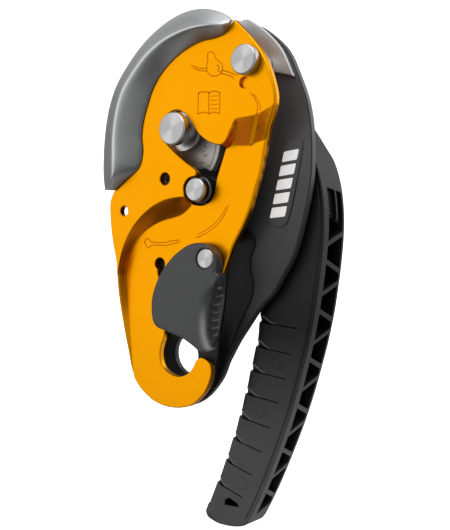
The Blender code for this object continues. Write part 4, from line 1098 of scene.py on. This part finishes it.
liner_in = [(34.8, 154.6), (43.6, 148.4), (52.6, 139.0), (58.6, 127.0)]
liner_low = [(58.6, 126.2), (48.9, 128.9), (38.0, 124.0), (26.0, 128.0), (14.0, 131.0), (2.0, 127.0),
             (-6.0, 118.0), (-8.4, 108.0), (-8.0, 96.0), (-13.0, 88.0), (-22.0, 82.0), (-31.0, 79.0)]
flare = [(o[0] * 0.992 + 0.2, o[1] * 0.992 + 0.6) for i, c, o, h in RIM[1:13]]
flare[0] = (-39.6, 86.0)
FLARE = smooth(flare, 5)
FOLD = [(-34.0, 78.8)] + smooth([mix(c, o, 0.24) for i, c, o, h in RIM[1:13]], 5) + [(34.8, 154.6)]
FLARE_H = np.interp(np.linspace(0, 1, len(FLARE)), np.linspace(0, 1, 12), [0.63] + [s[3] for s in RIM[2:13]])
LINER_OUT = join(smooth(liner_in, 4), liner_low, [(-34.0, 78.8), (-38.4, 79.6)], FLARE)
FLARE_BAND = FOLD + [(40.0, 162.0)] + shift(FLARE, 4.0)[::-1] + [(-46.0, 80.0)]


def liner_level(P):
    y = np.full(len(P), -2.3)
    m = within(P, FLARE_BAND) | (seg_dist(P, FLARE) < 0.01)
    if m.any():
        q = P[m]
        df, de = seg_dist(q, FOLD), seg_dist(q, FLARE)
        h = nearest_value(q, FLARE, FLARE_H)
        t = df / (df + de + 1e-6)
        y[m] = -2.3 + 4.6 * h * (0.55 * t + 0.45 * t * t)
    return y


me = relief(LINER_OUT, [circle(PIVOT, 3.6, 36)], lambda P, d: liner_level(P) + rounding(d, 0.5),
            lambda P, d: liner_level(P) + 2.0 - rounding(d, 0.3), rounds=(0.5,), lines=[FOLD[1:-1]],
            grid=3.0, step=1.4)
piece("friction_rim_rear", me, LINER_STEEL, "frame", ["rear_friction_rim"])

body_top = [(-33.0, 36.0), (-31.2, 45.0), (-27.6, 51.4), (-23.4, 56.2), (-18.8, 59.6), (-14.0, 61.9),
            (-8.0, 63.8), (0.0, 65.4), (5.0, 67.0), (9.0, 68.4), (14.0, 68.0), (22.0, 66.0), (27.0, 62.0)]
body_wall = [(27.0, 62.0), (28.4, 56.0), (28.0, 48.0), (26.6, 38.0), (25.4, 28.0), (23.8, 16.0),
             (22.0, 6.0), (21.4, 1.0)]
body_low = [(21.4, 1.0), (19.6, -4.0), (17.4, -9.0), (14.0, -14.6), (9.0, -19.4), (3.0, -22.9),
            (-3.0, -24.2), (-9.2, -23.2), (-15.6, -20.6), (-21.6, -16.4), (-25.4, -12.0)]
body_left = [(-25.4, -12.0), (-28.2, 1.0), (-30.6, 16.0), (-32.2, 28.0), (-33.0, 36.0)]
BODY_OUT = join(smooth(body_top, 4), smooth(body_wall, 4), smooth(body_low, 4), smooth(body_left, 3))
me = relief(BODY_OUT, [circle((0, 0), EYE_R, 72)] + [circle(s, 1.8, 24) for s in SCREWS],
            lambda P, d: -7.4 + rounding(d, 0.6), lambda P, d: -0.3 - rounding(d, 0.2), rounds=(0.6,), grid=4.0)
piece("body_block", me, BODY_NYLON, "frame", ["spacer_body"])

leaf_foot = [(27.3, 62.0), (35.4, 58.6), (37.6, 53.2), (35.4, 47.5), (35.0, 41.5), (36.3, 35.0), (35.7, 29.0),
             (32.9, 23.0), (28.5, 14.8), (24.4, 6.0), (22.3, 2.4)]
wall_top = [(p[0] + 0.3, p[1]) for p in body_wall]
cols, rows = 72, 14
fa, wa = evenly(smooth(wall_top, 5), cols), evenly(smooth(leaf_foot, 5), cols)
grid_pts = []
for j in range(rows + 1):
    t = j / rows
    row = []
    for i in range(cols):
        x, z = mix(fa[i], wa[i], t)
        depth = 5.5 * (1 - t) ** 1.9 * (1 - 0.82 * step_up((z - 52.5) / 4.5)) * (0.35 + 0.65 * step_up((z - 1.0) / 7))
        row.append((x, -1.1 - depth, z))
    grid_pts.append(row)
bm = bmesh.new()
up = [[bm.verts.new(Vector(p) * MM) for p in r] for r in grid_pts]
dn = [[bm.verts.new(Vector((p[0], -0.3, p[2])) * MM) for p in r] for r in grid_pts]
for j in range(rows):
    for i in range(cols - 1):
        bm.faces.new((up[j][i], up[j][i + 1], up[j + 1][i + 1], up[j + 1][i]))
        bm.faces.new((dn[j][i], dn[j + 1][i], dn[j + 1][i + 1], dn[j][i + 1]))
rim_loop = [(0, i) for i in range(cols)] + [(j, cols - 1) for j in range(1, rows + 1)] \
    + [(rows, i) for i in range(cols - 2, -1, -1)] + [(j, 0) for j in range(rows - 1, 0, -1)]
for a, b in zip(rim_loop, rim_loop[1:] + rim_loop[:1]):
    bm.faces.new((up[b[0]][b[1]], up[a[0]][a[1]], dn[a[0]][a[1]], dn[b[0]][b[1]]))
me = mesh_from(bm, "shoulder", 30)
piece("body_shoulder_slope", me, BODY_NYLON, "frame", ["body_shoulder"])

badge = [(44.5, 62.0), (52.0, 60.5), (56.0, 66.0), (61.5, 90.0), (62.0, 97.5), (56.5, 99.0), (52.5, 94.5),
         (46.5, 70.0), (44.5, 62.0)]
BADGE = join(smooth(badge, 5))
me = relief(BADGE, [], lambda P, d: -0.7 + rounding(d, 0.3), lambda P, d: np.full(len(P), -0.3), rounds=(0.3,),
            grid=4.0)
piece("badge_base", me, CHAR, "frame", ["badge_plate"])
# plain slanted bars, printed
for i in range(5):
    u0, u1 = 0.02 + i * 0.192, 0.02 + i * 0.192 + 0.142
    L0, L1 = (45.4, 63.6), (53.7, 95.8)
    R0, R1 = (53.0, 62.6), (61.0, 95.0)
    bar = [mix(L0, L1, u0), mix(R0, R1, u0 + 0.05), mix(R0, R1, u1 + 0.05), mix(L0, L1, u1)]
    bar = [(float(a), float(b)) for a, b in bar]
    rb = fillet(bar + bar[:2], 0.6, 4)[1:-1]
    me = relief(join(rb), [], lambda P, d: -0.86 + rounding(d, 0.08), lambda P, d: np.full(len(P), -0.68),
                rounds=(0.08,), grid=3.0)
    piece(f"badge_bar_{i + 1}", me, PRINT, "frame", ())

# screws, seen from behind
for i, s in enumerate(SCREWS):
    body = turned(s, fillet([(0, -5.6), (1.5, -5.6), (1.5, 3.5), (2.9, 3.5), (2.9, 4.4), (2.4, 4.9), (0, 4.9)], 0.2, 3), 48)
    bm = bmesh.new()
    bmesh.ops.create_cone(bm, cap_ends=True, segments=6, radius1=1.25 * MM, radius2=1.25 * MM, depth=2.4 * MM)
    bmesh.ops.rotate(bm, verts=bm.verts, matrix=Matrix.Rotation(math.radians(90), 3, "X"))
    bmesh.ops.translate(bm, verts=bm.verts, vec=(0, 4.9 * MM, 0))
    hexm = bpy.data.meshes.new("hex")
    bm.to_mesh(hexm)
    bm.free()
    me = resharp(subtract(body, [hexm]))
    piece(f"body_screw_head_{i + 1}", me, PIN_STEEL, "frame", [f"body_screw_{i + 1}"], c=s)

# =============================================================================================
# cam
# =============================================================================================
CAM_OUT = join(arc(CAM_C, 11.5, 60, 225, 36),
               smooth([(-3.4, 97.5), (0.5, 92.6), (6.0, 89.4), (10.4, 87.6), (13.6, 87.6), (16.6, 86.4),
                       (18.6, 88.6), (20.8, 93.0), (22.0, 98.0), (21.6, 104.0), (18.6, 110.0),
                       (14.6, 114.0), (10.4, 115.5)], 5))
CAM_STEP = smooth([(-1.0, 97.0), (3.0, 93.0), (8.6, 90.6), (12.4, 90.4), (14.0, 89.2), (16.4, 89.0), (18.6, 93.6),
                   (19.8, 98.6), (19.4, 103.6), (16.6, 109.6)], 5)
CAM_MARK = smooth([(11.6, 96.9), (12.6, 98.0), (14.0, 97.4), (13.4, 96.0), (12.2, 95.2), (12.6, 93.8), (14.2, 93.8)], 5)


def cam_front(P, d):
    y = -6.4 + rounding(d, 0.5)
    y = y + 0.35 * (1 - step_up(np.abs(seg_dist(P, CAM_STEP)) / 0.38))
    y = y + 0.28 * (1 - step_up(seg_dist(P, CAM_MARK) / 0.3))
    return y


me = relief(CAM_OUT, [circle(CAM_C, 6.1, 48)], cam_front, lambda P, d: -2.7 - rounding(d, 0.4), rounds=(0.5,),
            lines=[CAM_STEP, shift(CAM_STEP, 0.38), shift(CAM_STEP, -0.38), CAM_MARK, shift(CAM_MARK, 0.3),
                   shift(CAM_MARK, -0.3)], grid=1.6, step=0.9)
piece("cam_body", me, CAST, "cam", ["cam"], c=CAM_C, world=True)

# =============================================================================================
# handle
# =============================================================================================
h_right = [(54.9, 105.4), (60.8, 96.7), (65.0, 90.0), (68.2, 80.0), (69.7, 69.0), (69.8, 58.0),
           (68.8, 46.0), (67.0, 33.0), (64.8, 20.0), (62.0, 7.0), (58.5, -6.0), (54.8, -18.5),
           (50.3, -31.5), (45.3, -44.0), (39.3, -58.0), (34.0, -69.0), (30.0, -76.5)]
h_low = [(30.0, -76.5), (27.0, -79.6), (20.0, -81.2), (10.0, -81.0), (4.6, -79.8), (2.9, -76.6)]
h_left = [(2.9, -76.6), (4.9, -72.0), (9.0, -63.6), (13.8, -53.0), (17.6, -43.2), (20.8, -34.8),
          (24.4, -23.6), (27.7, -11.8), (30.7, -0.1), (32.9, 8.0), (34.5, 18.6), (35.3, 28.0), (35.0, 36.0),
          (33.8, 45.0), (30.8, 56.0), (25.0, 67.0), (14.0, 78.0), (2.0, 84.2)]
h_top = [(16.1, 123.9), (28.0, 119.5), (40.0, 114.0), (48.0, 109.8), (54.9, 105.4)]
# finger steps: left end on the grip's left edge, right end
STEPS = [((34.2, 16.7), (56.5, 14.6)), ((32.2, 5.5), (53.0, 2.7)), ((29.2, -5.9), (50.2, -8.7)),
         ((26.0, -17.1), (46.6, -19.9)), ((22.8, -28.1), (42.3, -32.0)), ((19.0, -38.8), (37.2, -43.6)),
         ((14.8, -49.7), (31.9, -55.2)), ((9.8, -60.9), (26.4, -66.4))]
hl = smooth(h_left, 10)


def stepped_left():
    """The grip's left edge, proud just under each step and tapering to the next."""
    zs = [s[0][1] for s in STEPS] + [-72.5]
    out = []
    for p in hl:
        inset = 0.0
        for a, b in zip(zs, zs[1:]):
            if b < p[1] <= a:
                inset = 0.6 * ((a - p[1]) / (a - b)) ** 1.3
        if zs[0] < p[1] < zs[0] + 10:
            inset = 0.6 * (1 - (p[1] - zs[0]) / 10)
        out.append((p[0] + inset, p[1]))
    return out


H_RIGHT = smooth(h_right, 6)
HANDLE_OUT = join(H_RIGHT, smooth(h_low, 6), stepped_left(), arc(CAM_C, 21.6, 262, 58, 60), smooth(h_top, 5))
CREASE = shift(H_RIGHT, -2.3)   # right edge, run downwards: its right-hand side is inside
MARKS = [(45.6, -1.5), (36.8, -24.8), (25.9, -59.9)]


def scoop(s):
    """Height of the scooped ramp over a step line at share s along it."""
    return 0.42 + 2.6 * (1 - step_up((s - 0.12) / 0.30))


def handle_front(P, d):
    dr = seg_dist(P, H_RIGHT)
    dl = seg_dist(P, hl)
    grip = step_up((40 - P[:, 1]) / 30)
    r = 0.7 + (0.5 + 2.4 * grip) * (1 - step_up((dl - 2.5) / 9))
    y = HY0 + rounding(d, r)
    # a shallow valley just inside the right-hand edge
    y = y + 0.30 * (1 - step_up(np.abs(dr - 1.7) / 0.9)) * step_up((d - 0.6) / 0.6) * step_up((P[:, 1] + 79) / 3)
    for L, R in STEPS:
        ax = np.array(R) - np.array(L)
        ln = np.linalg.norm(ax)
        ax = ax / ln
        nv = np.array((-ax[1], ax[0]))
        q = P - np.array(L)
        s = (q @ ax) / ln
        v = q @ nv
        w = scoop(s)
        D = 0.42 + 0.75 * (1 - step_up((s - 0.1) / 0.4))
        on = step_up((s + 0.25) / 0.1) * step_up((1.0 - s) / 0.03)
        f = np.where(v > 0, np.clip(1 - v / w, 0, 1) ** 0.8, np.clip(1 + v / 0.22, 0, 1))
        y = y + D * f * on
        lip = (1 - step_up(np.abs(v - w - 0.25) / 0.4)) * (1 - step_up((s - 0.34) / 0.14))
        y = y - 0.34 * lip * on
    for c in MARKS:
        g = np.abs(np.hypot(P[:, 0] - c[0], P[:, 1] - c[1]) - 3.1)
        y = y + 0.12 * (1 - step_up(g / 0.28))
    return y


def back_of(z):
    return HY1 - np.clip(24.0 - np.asarray(z, float), 0, None) * TAPER


def handle_back(P, d):
    y = back_of(P[:, 1]) - rounding(d, 0.8)
    # a shallow panel down the back of the grip
    y = y - 0.7 * step_up((d - 4.2) / 0.9) * step_up((22 - P[:, 1]) / 6)
    return y


hlines = []
for L, R in STEPS:
    ax = np.array(R) - np.array(L)
    nv = np.array((-ax[1], ax[0])) / np.linalg.norm(ax)
    base = spaced([tuple(np.array(L) + ax * 0.012), R], 0.9)
    for off in (0.0, -0.22):
        hlines.append([tuple(np.array(p) + nv * off) for p in base])
    top = []
    for p in base:
        s = float(np.dot(np.array(p) - np.array(L), ax) / np.dot(ax, ax))
        top.append(tuple(np.array(p) + nv * float(scoop(s))))
    hlines.append(top)
    hlines.append([tuple(np.array(p) + nv * 0.25) for p in top[:len(top) // 2]])
    hlines.append([tuple(np.array(p) + nv * 0.65) for p in top[:len(top) // 2]])
    hlines.append([tuple((np.array(a) + np.array(b)) / 2) for a, b in zip(top, base)])
for o in (1.25, 1.7, 2.15, 2.6):
    hlines.append([p for p in shift(H_RIGHT, -o)])
hcirc = [circle(c, r, 36) for c in MARKS for r in (2.82, 3.1, 3.38)]
me = relief(HANDLE_OUT, [], handle_front, handle_back, rounds=(0.7, 3.6), lines=hlines, loops=hcirc, grid=3.0,
            step=1.3, sharp=32)

P = np.array([(v.co.x / MM, v.co.z / MM) for v in me.vertices])
front = np.array([v.co.y / MM < HY0 + 3.6 for v in me.vertices])
# painted highlight on the lips over the finger steps and just under them; painted shade in the step grooves and along
# the valley by the right edge
painted_shading = np.zeros(len(P))
for L, R in STEPS:
    ax = np.array(R) - np.array(L)
    ln = np.linalg.norm(ax)
    ax = ax / ln
    q = P - np.array(L)
    t = (q @ ax) / ln
    v = q @ np.array((-ax[1], ax[0]))
    w = scoop(t)
    on = step_up((t + 0.25) / 0.1) * step_up((1.0 - t) / 0.03)
    lip = (1 - step_up(np.abs(v - w - 0.18) / 0.34)) * (1 - step_up((t - 0.36) / 0.16)) * on
    low = (1 - step_up(np.abs(v - 0.10) / 0.34)) * on
    under = (1 - step_up(np.abs(v + 0.45) / 0.3)) * on * step_up((t - 0.3) / 0.2)
    painted_shading = np.maximum(painted_shading, np.maximum(0.62 * lip, 0.16 * under)) - 0.85 * low
dr = seg_dist(P, H_RIGHT)
painted_shading = painted_shading - 0.6 * (1 - step_up(np.abs(dr - 1.7) / 0.6)) * step_up((30.0 - P[:, 1]) / 20)
at = me.attributes.new("painted_shading", "FLOAT", "POINT")
at.data.foreach_set("value", np.where(front, np.clip(painted_shading, -1, 1), 0.0).astype(np.float32))

RUN_PTS = H_RIGHT
RUN = sum(math.dist(p, q) for p, q in zip(RUN_PTS, RUN_PTS[1:]))
POCKETS, FIRST, PITCH = 13, 43.4, 11.25
POCKET_FRONT = 9.9


def edge_frame(curve, s):
    for p, q in zip(curve, curve[1:]):
        d = math.dist(p, q)
        if s <= d:
            t = ((q[0] - p[0]) / d, (q[1] - p[1]) / d)
            return (p[0] + t[0] * s, p[1] + t[1] * s), (t[1], -t[0])
        s -= d
    return curve[-1], (t[1], -t[0])


def side_pocket(poly, depth, r=0.7):
    """Pocket cut square into the outer side; corners are (length along the side, y)."""
    full = []
    for u, y in poly:
        if y is None:
            p, _ = edge_frame(RUN_PTS, u)
            y = float(back_of(p[1])) - 2.1
        full.append((u, y))
    full = fillet(full + full[:2], r, 4)[1:-1]
    b = bmesh.new()
    near, far = [], []
    for u, y in full:
        p, nrm = edge_frame(RUN_PTS, max(u, 0.1))
        near.append(b.verts.new(((p[0] - nrm[0] * 3) * MM, y * MM, (p[1] - nrm[1] * 3) * MM)))
        far.append(b.verts.new(((p[0] + nrm[0] * depth) * MM, y * MM, (p[1] + nrm[1] * depth) * MM)))
    b.faces.new(near)
    b.faces.new(far[::-1])
    n = len(near)
    for k in range(n):
        j = (k + 1) % n
        b.faces.new([near[j], near[k], far[k], far[j]])
    bmesh.ops.triangulate(b, faces=b.faces)
    bmesh.ops.remove_doubles(b, verts=b.verts, dist=1e-6)
    bmesh.ops.recalc_face_normals(b, faces=b.faces)
    m = bpy.data.meshes.new("pocket")
    b.to_mesh(m)
    b.free()
    return m


def pocket(i):
    s = FIRST + PITCH * (i + 0.5)
    f, q = (6.2, 1.6) if i % 2 == 0 else (2.9, 7.3)
    return side_pocket([(s - f, POCKET_FRONT), (s + f, POCKET_FRONT), (s + q, None), (s - q, None)], 7.2)


hub_cut = turned(CAM_C, [(0, 4.6), (17.0, 4.6), (17.0, 9.6), (7.4, 9.6), (7.4, 12.4), (14.4, 12.4), (14.4, 26.0),
                         (0, 26.0)], 72)
hub_cut.transform(Matrix.Translation(Vector((CAM_C[0], 0, CAM_C[1])) * MM))
SLOT = [(15.7, -71.4), (16.4, -68.6), (18.6, -67.4), (23.4, -69.4), (24.6, -71.2)]
slot_m = relief(fillet(SLOT + SLOT[:2], 0.8, 4)[1:-1], [], lambda P, d: np.full(len(P), HY0 - 1.0),
                lambda P, d: np.full(len(P), HY0 + 9.0), rounds=(0.5,), grid=5.0)
recess = [side_pocket([(31.0, POCKET_FRONT), (42.4, POCKET_FRONT), (46.0, 16.8), (32.0, 16.8)], 1.8, 0.7),
          side_pocket([(32.0, 17.8), (46.4, 17.8), (48.0, None), (33.0, None)], 1.8, 0.7)]
me = resharp(subtract(me, [hub_cut, slot_m] + recess + [pocket(i) for i in range(POCKETS)]), 32)
piece("handle_grip", me, NYLON, "handle", ["handle"], c=CAM_C, world=True)

# =============================================================================================
# hub, seen from behind
# =============================================================================================
piece("hub_cap", turned(CAM_C, fillet([(6.3, 19.8), (14.1, 19.8), (14.1, 21.5), (12.9, 22.6), (9.2, 22.6),
                                       (8.8, 22.2), (7.0, 22.2), (6.6, 22.6), (6.3, 22.6)], 0.3, 3), 80),
      NYLON, "handle", ["hub_cover"], c=CAM_C)
piece("release_button_cap", turned(CAM_C, fillet([(0, 18.3), (12.6, 18.3), (12.6, 19.4), (5.9, 19.4), (5.9, 25.2),
                                                  (5.0, 26.2), (3.6, 26.2), (2.6, 25.7), (0, 25.6)], 0.35, 4), 80),
      yellow_anodised("yellow_button"), "button", ["release_button"], c=CAM_C)
# the button's return spring, which shortens as the button goes in; here a fixed coil
rings = []
for i in range(71):
    t = 2 * math.pi * 2.5 * i / 70
    cy = 12.7 + 0.55 + (5.3 - 1.1) * i / 70
    ring = []
    for j in range(10):
        b = 2 * math.pi * j / 10
        rr = 10.9 + 0.55 * math.cos(b)
        ring.append((rr * math.cos(t), cy + 0.55 * math.sin(b), rr * math.sin(t)))
    rings.append(ring)
ob = piece("button_spring_wire", loft(rings, sharp=60), WIRE, "handle", ["button_spring"], c=CAM_C,
           weighted=False)
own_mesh(ob)
piece("drive_disc_face", turned(CAM_C, fillet([(4.4, 3.6), (15.6, 3.6), (15.6, 5.0), (4.4, 5.0)], 0.25, 3), 72),
      HEAD_STEEL, "handle", ["drive_disc"], c=CAM_C)
piece("pivot_sleeve", turned(PIVOT, fillet([(3.4, -12.3), (5.2, -12.3), (5.2, -9.5), (4.0, -8.5), (4.0, -2.7),
                                            (3.4, -2.7)], 0.2, 3), 64),
      LINER_STEEL, "frame", ["pivot_bush"], c=PIVOT)
piece("guide_sleeve", turned(GUIDE_C, fillet([(5.3, -7.1), (6.6, -7.1), (6.6, -0.5), (5.3, -0.5)], 0.25, 3), 64),
      DARK_STEEL, "frame", ["guide_bush"], c=GUIDE_C)

# =============================================================================================
# the CAD nodes that stay get the same finishes
# =============================================================================================
finish_of = {"spring": WIRE, "axle": PIN_STEEL, "pin": PIN_STEEL, "catch": CAST, "peg": PIN_STEEL,
             "rivet": PIN_STEEL, "block": CAST, "bush": PIN_STEEL, "nut": PIN_STEEL}
for name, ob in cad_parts.items():
    if ob.hide_render:
        continue
    mat = next((m for key, m in finish_of.items() if key in name), PIN_STEEL)
    ob.data.materials.clear()
    ob.data.materials.append(mat)

# =============================================================================================
# stage and light
# =============================================================================================
def stage_mesh(name, pts_rows, mat):
    bm = bmesh.new()
    rows_v = [[bm.verts.new(p) for p in r] for r in pts_rows]
    for a, b in zip(rows_v, rows_v[1:]):
        for i in range(len(a) - 1):
            bm.faces.new((a[i], a[i + 1], b[i + 1], b[i]))
    me = bpy.data.meshes.new(name)
    bm.to_mesh(me)
    bm.free()
    me.shade_smooth()
    me.materials.append(mat)
    ob = bpy.data.objects.new(name, me)
    bpy.context.scene.collection.objects.link(ob)
    return ob


k = Nodes("studio_white")
tone = k.noise(3.0, 2, 0.5)
k.set(Base_Color=k.ramp(tone, [(0.3, (0.88, 0.88, 0.88)), (0.7, (0.92, 0.92, 0.92))]), Roughness=0.85)
k.b.inputs["Emission Color"].default_value = (1, 1, 1, 1)
k.b.inputs["Emission Strength"].default_value = 0.80
STUDIO = k.m
n = 64
FLOOR_Z = -0.16
prof = [(0.0, FLOOR_Z), (1.3, FLOOR_Z)] + [(1.3 + 0.7 * math.sin(a), FLOOR_Z + 0.7 - 0.7 * math.cos(a))
                                        for a in np.linspace(0.15, math.pi / 2, 10)] + [(2.0, 2.2)]
rows_p = [[(0.02 + r * math.cos(t), 0.0 + r * math.sin(t), z) for t in np.linspace(0, 2 * math.pi, n)]
          for r, z in prof]
floor = stage_mesh("studio_floor", rows_p, STUDIO)
# the backdrop is seen by the camera; the room round the object is the world's
floor.visible_glossy = False
floor.visible_diffuse = False
floor.visible_shadow = False
floor.visible_transmission = False

# panels of the room: direction, full within, gone at, amount
LOBES = [((-0.588, -0.809, -0.03), 17, 44, 0.33),
         ((0.20, -0.35, 0.92), 16, 44, 0.9),
         ((-0.50, 0.0, 0.85), 15, 60, 0.22),
         ((0.586, 0.81, 0.0), 22, 55, 0.42),
         ((-0.586, -0.47, -0.66), 12, 34, -0.40),
         ((-0.96, 0.27, 0.0), 14, 40, -0.16),
         ((0.14, -0.65, -0.75), 8, 26, -0.30),
         ((1.0, -0.10, 0.0), 12, 36, 0.22)]
world = bpy.data.worlds.new("studio")
bpy.context.scene.world = world
world.use_nodes = True
wt = world.node_tree
bg = wt.nodes["Background"]
wc = wt.nodes.new("ShaderNodeTexCoord")


def wmath(op, a, b=None, c=None):
    m = wt.nodes.new("ShaderNodeMath")
    m.operation = op
    for i, v in enumerate((a, b, c)):
        if v is None:
            continue
        if isinstance(v, (int, float)):
            m.inputs[i].default_value = v
        else:
            wt.links.new(v, m.inputs[i])
    return m.outputs[0]


def lobe(direction, inner, outer, amount):
    """A soft panel of the room: full within inner degrees of a direction, gone at outer degrees."""
    v = Vector(direction).normalized()
    dt = wt.nodes.new("ShaderNodeVectorMath")
    dt.operation = "DOT_PRODUCT"
    wt.links.new(wc.outputs["Generated"], dt.inputs[0])
    dt.inputs[1].default_value = v
    r = wt.nodes.new("ShaderNodeMapRange")
    r.interpolation_type = "SMOOTHSTEP"
    r.inputs["From Min"].default_value = math.cos(math.radians(outer))
    r.inputs["From Max"].default_value = math.cos(math.radians(inner))
    r.inputs["To Min"].default_value = 0.0
    r.inputs["To Max"].default_value = amount
    wt.links.new(dt.outputs["Value"], r.inputs["Value"])
    return r.outputs["Result"]


level = 0.46
for args in LOBES:
    level = wmath("ADD", level, lobe(*args))
level = wmath("MAXIMUM", level, 0.015)
wt.links.new(level, bg.inputs["Strength"])
bg.inputs["Color"].default_value = (1, 1, 1, 1)


def area(name, at, to, size, power, size_y=None):
    L = bpy.data.lights.new(name, "AREA")
    L.energy, L.shape, L.size = power, "RECTANGLE", size
    L.size_y = size_y or size
    ob = bpy.data.objects.new(name, L)
    bpy.context.scene.collection.objects.link(ob)
    ob.location = at
    ob.rotation_euler = (Vector(to) - Vector(at)).to_track_quat("-Z", "Y").to_euler()
    return ob


mid = (0.02, 0, 0.04)
area("key_top_right", (0.45, -0.55, 0.95), mid, 0.5, 1.6)
area("front_left", (-0.75, -0.95, 0.35), mid, 0.9, 0.9)
area("back_fill", (0.5, 0.9, 0.5), mid, 0.7, 1.2)
area("low_left", (-0.17, -0.26, -0.05), (0.01, 0.0, -0.03), 0.14, 0.016)

bpy.context.scene.view_settings.view_transform = "Standard"
